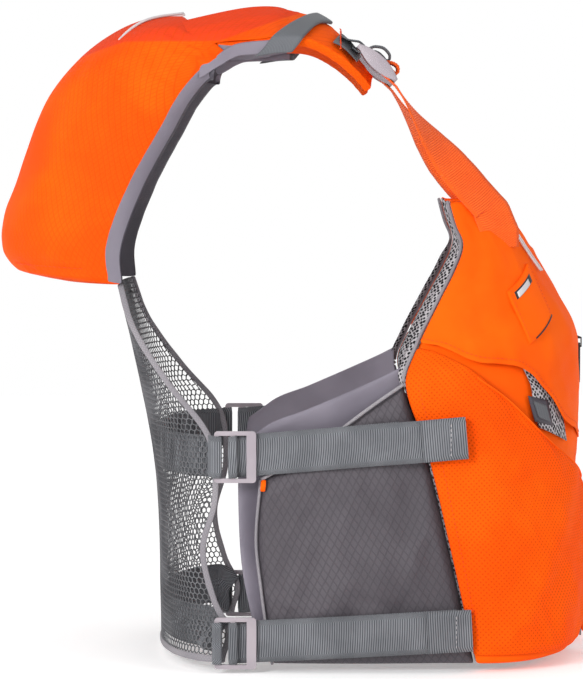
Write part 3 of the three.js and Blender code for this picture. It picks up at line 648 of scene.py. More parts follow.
def solidMaterial(name, main, shade, rough, metal=0.0, grain=220, depth=0.00012, specular=0.4):
    material, tree, shader = newMaterial(name, rough, 0, metal, specular)
    base = blendColours(tree, fade(tree, cloud(tree, 25), 0.35, 0.65), colour(main), colour(shade))
    tree.links.new(base, shader.inputs["Base Color"])
    bump(tree, shader, cloud(tree, grain * 8, 4), depth, 0.5)
    return material


def spacerMaterial(name):  # thick knitted mesh, light yarn over a dark core
    material, tree, shader = newMaterial(name, 0.8, 0, 0, 0.2)
    spin, _, _ = cutPlace(tree, 30)
    cell = tree.nodes.new("ShaderNodeTexVoronoi")
    cell.inputs["Scale"].default_value = 1 / 0.0034
    cell.inputs["Randomness"].default_value = 0.35
    tree.links.new(spin, cell.inputs["Vector"])
    hole = fade(tree, cell.outputs["Distance"], 0.36, 0.5, 1, 0)
    tree.links.new(blendColours(tree, hole, colour("aeaaad"), colour("141317")), shader.inputs["Base Color"])
    bump(tree, shader, hole, 0.0012, -0.8)
    return material


# top is painted shade: a darker red on the upward faces of the pad and shoulders
orangeCloth = clothMaterial("orangeRipstop", "fa5c04", "f04e03", 0.7, grid=0.0042, gridTone="d84302",
                            specular=0.08, top="e8431c")
orangePlain = clothMaterial("orangeShell", "ff6406", "fb5a04", 0.7, specular=0.08)
orangeHoled = clothMaterial("orangePerforated", "ff5c06", "fb5204", 0.75, holes=0.0032, gridTone="b83602",
                            specular=0.06)
greyRipstop = clothMaterial("greyRipstop", "534e54", "4a454b", 0.42, grid=0.0056, gridTone="38343a",
                            gridWidth=0.0009)
greyLining = clothMaterial("greyLining", "837d89", "736d79", 0.4, specular=0.5)
darkLining = clothMaterial("innerLining", "47424c", "3b3741", 0.4, specular=0.6)
greyBinding = clothMaterial("greyBinding", "9a969a", "8a868b", 0.7, grid=0.0016, gridTone="77737a")
# the third colour is painted shade for the grooves between the ribs, and also a random mottle
orangeWeb = webMaterial("orangeWebbing", "ff6c1c", "e04404", 0.0021)
greyWeb = webMaterial("greyWebbing", "85878c", "2c2e33", 0.0021)
yarn = solidMaterial("meshYarn", "68686b", "535356", 0.85, specular=0.15)
reflective = clothMaterial("reflectiveTape", "5d5f64", "54565b", 0.45, grid=0.0018, gridTone="74777b",
                           specular=0.3)
piping = solidMaterial("lightPiping", "dad6d6", "c4c0c2", 0.4)
thread = solidMaterial("greyThread", "b9b6b8", "a3a0a3", 0.8)
orangeThread = solidMaterial("orangeThread", "e8480e", "d9400c", 0.8)
buckleGrey = solidMaterial("buckleAcetal", "a39aa0", "978e95", 0.42)
# black moulding of the zips, also used as painted shade in the lash slot and under the lash patch
blackMouldingAndSlotShade = solidMaterial("zipMoulding", "17171b", "202025", 0.38)
zipGrey = solidMaterial("zipPlating", "8b8e92", "7a7d82", 0.35, 0.7)
spacer = spacerMaterial("spacerMesh")
floorPale = solidMaterial("paleFloor", "fcfcfc", "fbfbfb", 1.0, specular=0.0)
print("materials made")


def addFloor():
    glow = floorPale.node_tree.nodes["Principled BSDF"]
    glow.inputs["Emission Color"].default_value = (1, 1, 1, 1)
    glow.inputs["Emission Strength"].default_value = studio["floorGlow"]
    size = 6000
    h = studio["floorHeight"] * 1000 - 2
    ground = makeObject("floor", [(-size, -size, h), (size, -size, h), (size, size, h), (-size, size, h)],
                        [[0, 1, 2, 3]], [0], [[(0, 0), (1, 0), (1, 1), (0, 1)]], [floorPale])


addFloor()


# glowing white wall across from the camera; it also hides the jacket from a camera far off on the other side
def addBackdrop():
    material = bpy.data.materials.new("whiteWall")
    material.use_nodes = True
    shader = material.node_tree.nodes["Principled BSDF"]
    shader.inputs["Base Color"].default_value = (0, 0, 0, 1)
    shader.inputs["Specular IOR Level"].default_value = 0
    shader.inputs["Emission Color"].default_value = (1, 1, 1, 1)
    shader.inputs["Emission Strength"].default_value = 1.0
    away, reach, foot = studio["wallAway"], studio["wallReach"], studio["wallFoot"]
    corners = [(away, -reach, foot), (away, reach, foot), (away, reach, reach), (away, -reach, reach)]
    wall = makeObject("backdrop", corners, [[0, 1, 2, 3]], [0], [[(0, 0), (1, 0), (1, 1), (0, 1)]], [material])


addBackdrop()

# front of the jacket; s runs from the centre front (0) to the side edge (1), z is the height
front = {"halfWidth": 160, "hem": -519, "wingTop": -282, "chestTop": -128, "neck": -172,
         "zipField": 7, "foamEdge": 11, "foamMiddle": 40}
frontLine = track([(-519, -241), (-507, -246.5), (-489, -248), (-270, -248), (-241, -245), (-211, -229),
                   (-172, -206), (-148, -193), (-128, -176)])
sideEdgeY = track([(-519, -156), (-420, -134), (-337, -114), (-282, -96), (-254, -105), (-212, -126),
                   (-187, -139), (-166, -146), (-150, -140), (-128, -134)])
sideEdgeX = track([(-519, 160), (-282, 160), (-254, 147), (-212, 131), (-166, 115), (-128, 104)])


def frontPoint(s, z, offset):
    def place(u, height):
        a, yEdge = sideEdgeX(height), sideEdgeY(height)
        b = yEdge - frontLine(height)
        angle = mix(math.asin((front["zipField"] / a) ** 1.25), math.pi / 2, u)
        return Vector((-a * max(0, math.sin(angle)) ** 0.8, yEdge - b * max(0, math.cos(angle)) ** 0.8,
                       height))
    u = clamp(s, 0.004, 0.97)
    along = place(u + 0.004, z) - place(u - 0.004, z)
    up = place(u, z + 2) - place(u, z - 2)
    normal = up.cross(along).normalized()
    if s > 0.97:
        normal = Vector((-1, 0, 0))
    return place(s, z) + normal * offset


def frontTop(s):
    return mix(front["neck"], front["chestTop"], ease(s, 0.05, 0.5))


def frontHeight(s, t):
    return mix(front["hem"] + 2, frontTop(s), t)


def frontDepth(s, t):
    return mix(front["foamEdge"], front["foamMiddle"], hump(s * 0.94 + 0.03) * hump(mix(0.03, 0.97, t), 0.6))


pocketTop = track([(0, -374), (0.17, -362), (0.35, -347), (0.54, -325), (0.7, -291), (0.81, -273),
                   (0.9, -262), (1, -251)])


# chest panel: a stuffed shell of orange cloth, spacer mesh inside and along the armhole
chest = {"cols": 44, "rows": 64, "pressure": 2.5, "slack": 0.015, "frames": 12, "cap": 2.2, "bending": 0.8}


def addChest():
    def inner(s, t):
        return frontPoint(s, frontHeight(s, t), -1.8 - frontDepth(s, t) - 1.8)
    cols, rows = chest["cols"], chest["rows"]
    piece = slab("chestPad_right", cols, rows, lambda s, t: frontPoint(s, frontHeight(s, t), 0), inner,
                 [orangePlain, spacer, greyLining], (0, 1, 0, 0, 0, 1))
    hold = []
    for layer in (0, 1):
        for j in range(rows + 1):
            for i in range(cols + 1):
                s, t = i / cols, j / rows
                z = frontHeight(s, t)
                under = ease(z, pocketTop(s) + 25, pocketTop(s) + 5)
                far = min(i, cols - i, j, rows - j)
                hold.append(1.0 if layer or far < 1 else under)
    puff(piece, hold, chest)
    subdivide(piece)
    right, left = settlePair(piece, "chestPad",
                             stands=("chest_panel", "front_foam", "front_lining", "front_hem",
                                     "armhole_gusset"))
    print("chest pads made")


addChest()

# yoke: the upper layer of the chest, its arched lower edge lies over the pocket mouth
yoke = {"cols": 50, "rows": 40, "lift": 3.4, "thick": 1.2}
yokeArch = track([(0, -338), (0.12, -334), (0.23, -326), (0.33, -321), (0.4, -314), (0.45, -300),
                  (0.53, -283), (0.6, -273),
                  (0.7, -268), (0.81, -266), (0.9, -257), (1, -247)])


def yokeLift(s, t):
    mouth = yoke["lift"] * (1 - ease(t, 0.0, 0.45)) * ease(s, 0.1, 0.35) * (1 - 0.6 * ease(s, 0.78, 0.9))
    z = mix(yokeArch(s), frontTop(s) - 3, t)
    folds = 3.2 * ripple((s * 210 - z * 0.35, z * 0.35, 0), 22, 4)
    folds += 1.5 * ripple((s * 160 + z, z * 0.4, 7), 12, 9)
    gather = 1.4 * math.sin(s * 70 + 3 * ripple((s * 99, z, 0), 30, 1))
    gather *= 1 - ease(t, 0.04, 0.4)
    gather *= ease(s, 0.3, 0.6)
    return 1.0 + mouth + 0.9 + max(-0.7, folds * 0.7 + gather * 0.35)


def yokePoint(s, t, depth):
    z = mix(yokeArch(s), frontTop(s) - 3, t ** 1.15)
    hem = 0.7 * (1 - ease(t, 0.03, 0.08))
    return frontPoint(mix(0.005, 1, s), z, yokeLift(s, t) + hem + depth)


def addYoke():
    piece = slab("yoke_right", yoke["cols"], yoke["rows"], lambda s, t: yokePoint(s, t, yoke["thick"]),
                 lambda s, t: yokePoint(s, t, 0), [orangePlain])
    subdivide(piece)
    for one in settlePair(piece, "yoke"):
        cutCloth(one, lambda s, t: frontPoint(s, mix(yokeArch(s), frontTop(s) - 3, t), 2))
    line = [yokePoint(s, 0.05, yoke["thick"]) for s in [k / 36 for k in range(37)]]
    seam = stitches("yokeStitches_right", line, frontOut, orangeThread, lift=0.35, radius=0.25)
    settlePair(seam, "yokeStitches")
    print("yoke made")


def frontOut(p):  # rough outward direction on the front
    return (p - Vector((0, p.y * 0.35, p.z))).normalized()


addYoke()

# pocket panel: perforated cloth over the lower front, with room inside
pocket = {"cols": 56, "rows": 60, "bulge": 6.5, "pressure": 3.0, "slack": 0.03, "frames": 14, "cap": 4.0,
          "bending": 0.25}


def pocketPoint(s, t, offset):
    bottom = front["hem"] + 10
    lift = 0.4 + pocket["bulge"] * hump(mix(0.02, 1, s), 0.6) * hump(mix(0.02, 0.8, t), 0.6)
    z = mix(bottom, pocketTop(s), t)
    free = min(1, 9 * min(s, 1 - s, t, (1 - t) * 1.6))
    drape = 3.6 * ripple((s * 190 + z * 0.55, 0, z * 0.3 - s * 60), 28, 6)
    drape += 1.4 * ripple((s * 200 - z * 0.5, z * 0.2, 0), 14, 2)
    return frontPoint(s, z, max(0.4, lift + drape * free) + offset)


def addPocket():
    cols, rows = pocket["cols"], pocket["rows"]
    piece = slab("pocketPanel_right", cols, rows, lambda s, t: pocketPoint(s, t, 1.4 + 0.4),
                 lambda s, t: pocketPoint(s, t, 0.3), [orangeHoled, orangePlain], (0, 1, 0, 0, 0, 0))
    hold = []
    for layer in (0, 1):
        for j in range(rows + 1):
            for i in range(cols + 1):
                far = min(i, cols - i, j, rows - j)
                t = j / rows
                hold.append(1.0 if far < 2 or layer else 0.15 * (1 - ease(t, 0, 0.2)))
    puff(piece, hold, pocket)
    subdivide(piece)
    for one in settlePair(piece, "pocketPanel", stands=("pocket_panel",)):
        cutCloth(one, lambda s, t: frontPoint(s, mix(front["hem"] + 10, pocketTop(s), t), 2))
    hemLine = [pocketPoint(s, 0.988, 1.9) for s in [k / 50 for k in range(41)]]
    roll = tube("pocketEdge_right", hemLine, 1.0, orangePlain)
    settlePair(roll, "pocketEdge")
    line = [pocketPoint(0.975, t, 2.0) for t in [k / 40 for k in range(2, 39)]]
    seam = stitches("pocketStitches_right", line, lambda p: Vector((-0.97, -0.25, 0)), orangeThread, 2.2,
                    1.5, 0.25, 0.1)
    settlePair(seam, "pocketStitches")
    print("pockets made")


addPocket()

# pocket mouth: a wedge of coarse mesh with a small square tab, between the yoke and the pocket
mouth = {"lift": 2.6, "left": [(0.62, -266), (0.565, -284), (0.56, -300), (0.545, -320)],
         "right": [(0.58, -266), (0.45, -286), (0.38, -306), (0.34, -334)]}


def addMouth():
    left, right = mouth["left"], mouth["right"]
    edges = [track([(k / 3, side[k][n]) for k in range(4)]) for side in (left, right) for n in (0, 1)]

    def at(w, t, depth):
        s, z = mix(edges[0](t), edges[2](t), w), mix(edges[1](t), edges[3](t), w)
        return frontPoint(s, z, mouth["lift"] + depth)
    wedge = slab("mouthMesh_right", 12, 16, lambda w, t: at(w, mix(0.02, 1, t), 0.9),
                 lambda w, t: at(w, mix(0.02, 1, t), 0),
                 [spacer])
    for one in settlePair(wedge, "mouthMesh"):
        cutCloth(one, lambda w, t: at(w, t, 0))

    def tab(w, t, depth):
        return frontPoint(mix(0.565, 0.49, w) - 0.02 * t, mix(-297, -312, t) - 5 * w,
                          mouth["lift"] + 1.1 + depth)
    square = slab("mouthTab_right", 6, 6, lambda w, t: tab(w, t, 1.0), lambda w, t: tab(w, t, 0),
                  [reflective])
    subdivide(square)
    settlePair(square, "mouthTab")

    def lip(w, t, depth):
        return frontPoint(mix(0.585, 0.475, w) - 0.02 * t, mix(-293, -315, t) - 5 * w,
                          mouth["lift"] + 0.35 + depth)
    frame = slab("mouthTabEdge_right", 6, 6, lambda w, t: lip(w, t, 0.9), lambda w, t: lip(w, t, 0),
                 [darkLining])
    settlePair(frame, "mouthTabEdge")
    print("pocket mouths made")


addMouth()

# lash tab: a slanted patch with a slot near its top and an open lower edge; the slot and the shadow under the
# lower edge are painted shade
patch = {"corners": [(0.70, -207), (0.45, -184), (0.59, -252), (0.41, -229)], "lift": 4.6, "thick": 1.5}


def patchPoint(w, t, depth):  # w along the slot, t down the patch
    a, b, c, d = patch["corners"]
    s = mix(mix(a[0], b[0], w), mix(c[0], d[0], w), t)
    z = mix(mix(a[1], b[1], w), mix(c[1], d[1], w), t)
    return frontPoint(s, z, patch["lift"] + depth)


def addPatch():
    thick = patch["thick"]

    def face(w, t):  # turned down at its sewn rim
        rim = 1 - ease(min(w, 1 - w, t, 1 - t), 0, 0.05)
        return patchPoint(w, t, thick - 0.9 * rim)
    piece = slab("lashPatch_right", 18, 28, face, lambda w, t: patchPoint(w, t, -2.2), [orangePlain])
    subdivide(piece)
    settlePair(piece, "lashPatch", stands=("lash_tab",))

    def inset(name, w0, w1, t0, t1, rise, material):
        one = slab(name, 10, 4, lambda w, t: patchPoint(mix(w0, w1, w), mix(t0, t1, t), thick + rise),
                   lambda w, t: patchPoint(mix(w0, w1, w), mix(t0, t1, t), thick - 0.6), [material])
        settlePair(one, name[:-6])
    # painted shade: a black inset stands for the dark slot, with a lighter strip inside it
    inset("lashSlot_right", 0.14, 0.78, 0.1, 0.24, 0.12, blackMouldingAndSlotShade)
    inset("lashSlotWeb_right", 0.2, 0.66, 0.13, 0.235, 0.3, piping)
    # painted shadow: a black strip under the open lower edge
    inset("lashLower_right", 0.2, 0.96, 0.965, 0.99, 0.15, blackMouldingAndSlotShade)
    ring = [patchPoint(w, t, thick) for w, t in ((0.05, 0.04), (0.95, 0.04), (0.95, 0.93), (0.05, 0.93),
                                                 (0.05, 0.06))]
    full = []
    for a, b in zip(ring, ring[1:]):
        full += [a.lerp(b, k / 4) for k in range(4)]
    full.append(ring[-1])
    seam = stitches("lashStitches_right", full, frontOut, orangeThread, 2.0, 1.4, 0.24, 0.5)
    settlePair(seam, "lashStitches")
    print("lash patches made")


addPatch()

# light piping beside the neck and spacer mesh along the armhole
trim = {"pipe": 1.0, "meshReach": 3.5}


def addTrim():
    for k, shift in enumerate((0, 0.035)):
        line = [frontPoint(mix(0.485, 0.27, t) + shift, mix(-150, -192, t), 5.4)
                for t in [i / 12 for i in range(13)]]
        settlePair(tube(f"neckPiping{k}_right", line, trim["pipe"], piping), f"neckPiping{k}")

    def strip(q, t, out):
        z = mix(-285, -166, t)
        reach = trim["meshReach"] * ease(t, 0, 0.12) * (1 - ease(t, 0.86, 1)) + 0.8
        bumpy = 0.8 * ripple((q * 20, z, 0), 5, 3)
        return frontPoint(1, z, -3.0 - 3 * q) + Vector((bumpy - out, 2.6 + reach * q, 0))
    band = slab("armMesh_right", 6, 50, lambda q, t: strip(q, t, 1.8), lambda q, t: strip(q, t, 0), [spacer])
    subdivide(band)
    settlePair(band, "armMesh")  # an edge strip 6 mm wide, too narrow to count as a sheet
    line = [frontPoint(1, mix(-280, -129, t), 0.4) + Vector((0, 1.6, 0)) for t in [i / 40 for i in range(41)]]
    edge = flatTube("armBinding_right", line, 3.0, 3.0, greyBinding)
    settlePair(edge, "armBinding")
    print("trim made")


addTrim()

# side wing: dark ripstop over foam, a pale lining that stands above it, light piping between
wing = {"rear": 28, "bulge": 4, "cols": 48, "rows": 48, "pressure": 1.2, "slack": 0.03, "frames": 12,
        "cap": 1.3, "bending": 0.3, "strapHeights": (-336, -494)}
wingTopLine = track([(0, -282), (0.35, -308), (0.7, -338), (1, -362)])
wingRearEdge = track([(-519, 14), (-482, 20), (-452, 24), (-412, 28), (-362, 24)])


liningTop = track([(0, -266), (0.12, -274), (0.35, -288), (0.62, -303), (0.85, -315), (1, -332)])
liningRear = track([(-519, 22), (-480, 32), (-440, 40), (-400, 43), (-345, 43), (-320, 38)])


def wallX(y):
    t = clamp((y - wing["rear"]) / (-130 - wing["rear"]), 0, 1)
    return -(front["halfWidth"] + wing["bulge"] * math.sin(math.pi * t))


def wingPoint(s, t, depth, rise):
    z = mix(front["hem"] + 2, wingTopLine(s) + rise, t)
    edge = sideEdgeY(min(z, front["wingTop"])) + 0.9
    y = mix(edge, wingRearEdge(z), s)
    return Vector((wallX(y) + depth, y, z))


def addWing():
    def outer(s, t):
        soft = 1 - ease(min(s, 1 - s, t, 1 - t), 0, 0.06)
        free = ease(min(s, 1 - s, t, 1 - t), 0.02, 0.15)
        y, z = s * 130, t * 180
        low = 1 - ease(t, 0.1, 0.6)
        creases = (2.2 + 3.2 * low) * ripple((y * 0.9 + z * 0.45, (z - y) * 0.22, 0), 16, 8)
        creases += 1.8 * ripple((y - z * 0.4, z * 0.5, 0), 11, 3)
        height = wingPoint(s, t, 0, 0).z
        strapped = max(1 - ease(abs(height - c), 19, 27) for c in wing["strapHeights"])
        return wingPoint(s, t, max(1.1 + creases * free, mix(-3.2, 0.6, strapped)) + 5 * soft ** 2, 0)
    piece = slab("wing_right", wing["cols"], wing["rows"], outer,
                 lambda s, t: wingPoint(s, t, 17.8 - 4 * (1 - ease(min(s, 1 - s, t, 1 - t), 0, 0.06)) ** 2,
                                        -2),
                 [greyRipstop, greyLining], (0, 1, 0, 0, 0, 1))
    hold = slabHold(wing["cols"], wing["rows"], 1, 1.0)
    for k in range(len(hold)):  # still under the straps
        z = 1000 * piece.data.vertices[k].co.z
        if min(abs(z - level) for level in wing["strapHeights"]) < 24:
            hold[k] = 1.0
    puff(piece, hold, wing)
    subdivide(piece)
    for one in settlePair(piece, "wing", stands=("wing_cover", "wing_foam")):
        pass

    def liningAt(s, t, depth):
        top = liningTop(s)
        z = mix(front["hem"] + 4, top, t)
        y = mix(sideEdgeY(min(z, front["wingTop"])) + 2.5, liningRear(z), s)
        rim = max(ease(t, 0.84, 1), ease(s, 0.88, 1))
        wrinkle = 2.4 * ripple((0, y * 0.6 + z, z * 0.3), 15, 5) * rim
        return Vector((wallX(y) + mix(18.4, 11.0, rim) + wrinkle * 0.4 + depth, y,
                       z + wrinkle * ease(t, 0.9, 1)))
    lining = slab("wingLining_right", 50, 50, lambda s, t: liningAt(s, t, 0),
                  lambda s, t: liningAt(s, t, 1.4),
                  [greyLining])
    subdivide(lining)
    for one in settlePair(lining, "wingLining", stands=("wing_lining",)):
        cutCloth(one, lambda s, t: liningAt(s, t, 0))
    line = [wingPoint(s, 1, 1.2, 0.6) for s in [k / 24 for k in range(25)]]
    settlePair(tube("wingPiping_right", line, 1.5, greyBinding), "wingPiping")
    line = [wingPoint(1, t, 2.5, 0.6) + Vector((0, 0.4, 0)) for t in [k / 24 for k in range(25)]]
    settlePair(tube("wingRearPiping_right", line, 1.3, greyBinding), "wingRearPiping")
    loop = [wingPoint(0.985, t, n, 0) for t, n in ((0.93, 1.5), (0.945, -1.2), (0.965, -2.6), (0.985, -1.6),
                                                   (0.995, 1.5))]
    settlePair(flatTube("wingLoop_right", loop, 1.4, 4.5, orangePlain), "wingLoop")
    print("wings made")


addWing()

# back pad: thick foam in an orange cover, grey gusset down both sides, dark lining against the back
backPad = {"halfWidth": 102, "cols": 56, "rows": 60, "foamEdge": 13, "foamMiddle": 60, "pressure": 3.2,
           "slack": 0.03,
           "frames": 16, "cap": 4.5, "bending": 0.35}
padCentre = curve3([(0, 238, -192), (0, 252, -166), (0, 238, -112), (0, 208, -42), (0, 178, -3), (0, 136, 23),
                    (0, 92, 30)])
padEdge = curve3([(0, 157, -198), (-1, 158, -168), (0, 140, -118), (3, 112, -68), (6, 94, -36), (8, 74, -14),
                  (9, 54, -3)])


def padPoint(u, s, depth):
    def place(side, run):
        centre, edge = padCentre(run), padEdge(run)
        angle = side * math.pi / 2
        blend = max(0, math.cos(angle)) ** 0.85
        return Vector(((backPad["halfWidth"] - edge.x) * math.sin(angle), mix(edge.y, centre.y, blend),
                       mix(edge.z, centre.z, blend)))
    side, run = clamp(u, -0.93, 0.93), clamp(s, 0.02, 0.98)
    across = place(side + 0.02, run) - place(side - 0.02, run)
    along = place(side, run + 0.02) - place(side, run - 0.02)
    normal = along.cross(across).normalized()
    edge = padEdge(run)
    if normal.dot(place(0, run) - Vector((0, edge.y - 60, edge.z - 60))) < 0:
        normal = -normal
    lean = ease(s, 0, 0.5)
    inward = Vector((0, -1, -mix(0.2, 0.5, lean))).normalized().lerp(-normal, 0.4 * lean)
    inward = inward.lerp(Vector((0, 0, -1)), ease(s, 0.75, 1)).normalized()
    return place(u, s) + inward * depth


def padDepth(u, s):
    return mix(backPad["foamEdge"], backPad["foamMiddle"],
               max(0, math.cos(u * math.pi / 2)) ** 0.6 * hump(mix(0.12, 0.93, s), 0.6))


def addBackPad():
    cols, rows = backPad["cols"], backPad["rows"]
    def cover(q, s):
        p = padPoint(mix(-1, 1, q), s, 0)
        side = min(q, 1 - q)
        gather = 1.6 * math.sin(q * 150 + 4 * ripple(p, 30, 1))
        gather *= 1 - ease(s, 0.02, 0.1)
        gather *= ease(s, 0, 0.02)
        pucker = 1.2 * math.sin(s * 90 + 5 * ripple(p, 25, 2))
        pucker *= 1 - ease(side, 0.02, 0.12)
        pucker *= ease(side, 0, 0.03)
        fold = 4.0 * ripple((p.x * 0.5, p.y * 0.4 + p.z, p.z * 0.4), 34, 7)
        fold *= ease(min(side, s, 1 - s), 0.02, 0.2)
        return padPoint(mix(-1, 1, q), s, -(gather + pucker + fold))
    piece = slab("backPad", cols, rows, cover,
                 lambda q, s: padPoint(mix(-1, 1, q), s,
                                       (3.6 + padDepth(mix(-1, 1, q), s)) * (1 - 0.8 * ease(s, 0.84, 1))),
                 [orangeCloth, darkLining, greyLining], (0, 1, 0, 0, 2, 2))
    hold = slabHold(cols, rows, 1, 0.6)
    puff(piece, hold, backPad)
    subdivide(piece)
    settle(piece, stands=("back_cover", "back_foam", "back_lining", "back_gusset_left",
                                          "back_gusset_right", "back_hem"))
    line = [padPoint(mix(-0.99, 0.99, k / 60), 0.055, -2.2) for k in range(61)]
    seam = stitches("padStitches", line, lambda p: Vector((p.x / 300, 0.9, -0.3)).normalized(), orangeThread,
                    3.0, 1.8, 0.3, 0.5)
    settle(seam)
    for side, end in (("right", -0.95), ("left", 0.95)):
        line = [padPoint(mix(end * 0.44, end * 0.1, k / 24), mix(0.75, 0.99, k / 24), -3.6)
                for k in range(25)]
        settle(tube(f"padPiping_{side}", line, 1.3, piping))
    print("back pad made")


addBackPad()

# shoulder sleeves: flat padded straps that carry on from the back pad
sleeve = {"thick": 11, "cols": 26, "rows": 60, "pressure": 3.0, "slack": 0.03, "frames": 14, "cap": 2.0,
          "bending": 0.3}
sleeveInner = curve3([(-52, 62, 33), (-50, 20, 36), (-54, -8, 32), (-60, -25, 26), (-66, -43, 12),
                      (-70, -58, -8), (-72, -71, -25)])
sleeveOuter = curve3([(-93, 46, -3), (-108, 20, 7), (-112, -8, 8), (-110, -25, 3), (-107, -43, -8),
                      (-103, -57, -20), (-100, -69, -34)])


def sleevePoint(w, t, depth):
    def place(across, run):
        start = padPoint(-mix(0.88, 0.42, across), 1, 0) + Vector((0, -2.0, 0))
        shape = sleeveOuter(run).lerp(sleeveInner(run), across)
        shape.z += 3 * math.sin(math.pi * across)
        return shape.lerp(start, 1 - ease(run, 0, 0.16))
    run, across = clamp(t, 0.02, 0.98), clamp(w, 0.02, 0.98)
    side = place(across + 0.02, run) - place(across - 0.02, run)
    along = place(across, run + 0.02) - place(across, run - 0.02)
    normal = side.cross(along).normalized()
    if normal.z < 0:
        normal = -normal
    normal = normal.lerp(Vector((0, 0, 1)), 1 - ease(t, 0, 0.25)).normalized()
    return place(w, t) - normal * depth


def addSleeves():
    def depth(w, t):
        return sleeve["thick"] * mix(1, 0.7, t) * mix(0.75, 1, hump(mix(0.1, 0.9, w)))
    cols, rows = sleeve["cols"], sleeve["rows"]
    piece = slab("sleeve_right", cols, rows, lambda w, t: sleevePoint(w, t, 0),
                 lambda w, t: sleevePoint(w, t, depth(w, t)),
                 [orangeCloth, greyLining], (0, 1, 0, 0, 1, 1))
    paintFaces(piece, 1, 0, lambda c: c.y < 0.004)
    puff(piece, slabHold(cols, rows, 1, 0.5), sleeve)
    subdivide(piece)
    for one in settlePair(piece, "sleeve", stands=("shoulder_pad",)):
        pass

    def band(w, q, lift):
        run = mix(0.2, 0.46, w) + mix(0, 0.16, q) * mix(1.0, 0.8, w)
        if w < 0:
            return sleevePoint(-0.03, run, -lift * (1 + w * 2.5)) + Vector((-lift * 0.45, 0, w * 42))
        return sleevePoint(mix(-0.03, 1.02, w), run, -lift)
    tape = slab("shoulderBand_right", 30, 8, lambda w, q: band(mix(-0.3, 1, w), q, 4.2),
                lambda w, q: band(mix(-0.3, 1, w), q, 0.8), [reflective])
    subdivide(tape)
    for one in settlePair(tape, "shoulderBand", stands=("shoulder_band",)):
        cutCloth(one, lambda w, q: band(mix(-0.3, 1, w), q, 0.8))

    def bridge(w, t, depth):  # cover that carries the pad's cloth on to the sleeve
        across = mix(0.0, 1.0, w)
        u = -mix(0.9, 0.42, clamp(across, 0, 1))
        path = curve3([padPoint(u, 0.74, 5.0), padPoint(u, 0.88, 0.6), padPoint(u, 0.98, -2.2),
                       sleevePoint(across, 0.13, -2.6),
                       sleevePoint(across, 0.22, -1.6), sleevePoint(across, 0.30, 1.5)])
        p = path(t)
        fold = 1.3 * ripple((w * 60, t * 30, 0), 14, 2) * hump(t)
        return p + Vector((0, 0, fold - depth))
    cover = slab("neckBridge_right", 24, 40, lambda w, t: bridge(w, t, 0), lambda w, t: bridge(w, t, 1.6),
                 [orangeCloth])
    subdivide(cover)
    for one in settlePair(cover, "neckBridge"):
        cutCloth(one, lambda w, t: bridge(w, t, 0))

    def side(q, t, out):  # grey side cloth below the bridge
        path = curve3([padPoint(-0.98, 0.82, 2), padPoint(-0.98, 0.95, 1.0), sleevePoint(0, 0.08, 0),
                       sleevePoint(0, 0.18, 0.5), sleevePoint(0, 0.27, 1)])
        p = path(t)
        return p + Vector((1.5 - out, 0.2, -mix(0.5, 13, q) * (0.9 + 0.1 * ripple(p, 9, 4))))
    cheek = slab("neckSide_right", 6, 30, lambda q, t: side(q, t, 1.6), lambda q, t: side(q, t, 0),
                 [greyLining])
    subdivide(cheek)
    for one in settlePair(cheek, "neckSide"):
        cutCloth(one, lambda q, t: side(q, t, 0))
    print("sleeves made")


addSleeves()

# back mesh: knitted net with six-sided holes, bound edges
net = {"hole": 5.3, "yarn": 1.0, "thick": 0.6, "hem": -511, "top": -200}
meshCentreLine = track([(-511, 115), (-445, 115), (-377, 118), (-332, 124), (-262, 137), (-198, 150)])
meshEdgeY = track([(-511, 56), (-490, 50), (-465, 62), (-420, 72), (-381, 62), (-338, 63), (-317, 72),
                   (-283, 101), (-237, 132), (-198, 145)])
meshEdgeX = track([(-511, 157), (-350, 157), (-310, 152), (-198, 94)])


def meshPoint(u, z, offset):
    def place(side):
        angle = side * math.pi / 2
        deep = meshCentreLine(z) - meshEdgeY(z)
        return Vector((meshEdgeX(z) * math.sin(angle), meshEdgeY(z) + deep * math.cos(angle), z))
    side = clamp(u, -0.96, 0.96)
    along = place(side + 0.02) - place(side - 0.02)
    normal = Vector((-along.y, along.x, 0)).normalized()
    if normal.y < 0:
        normal = -normal
    return place(u) + normal * offset


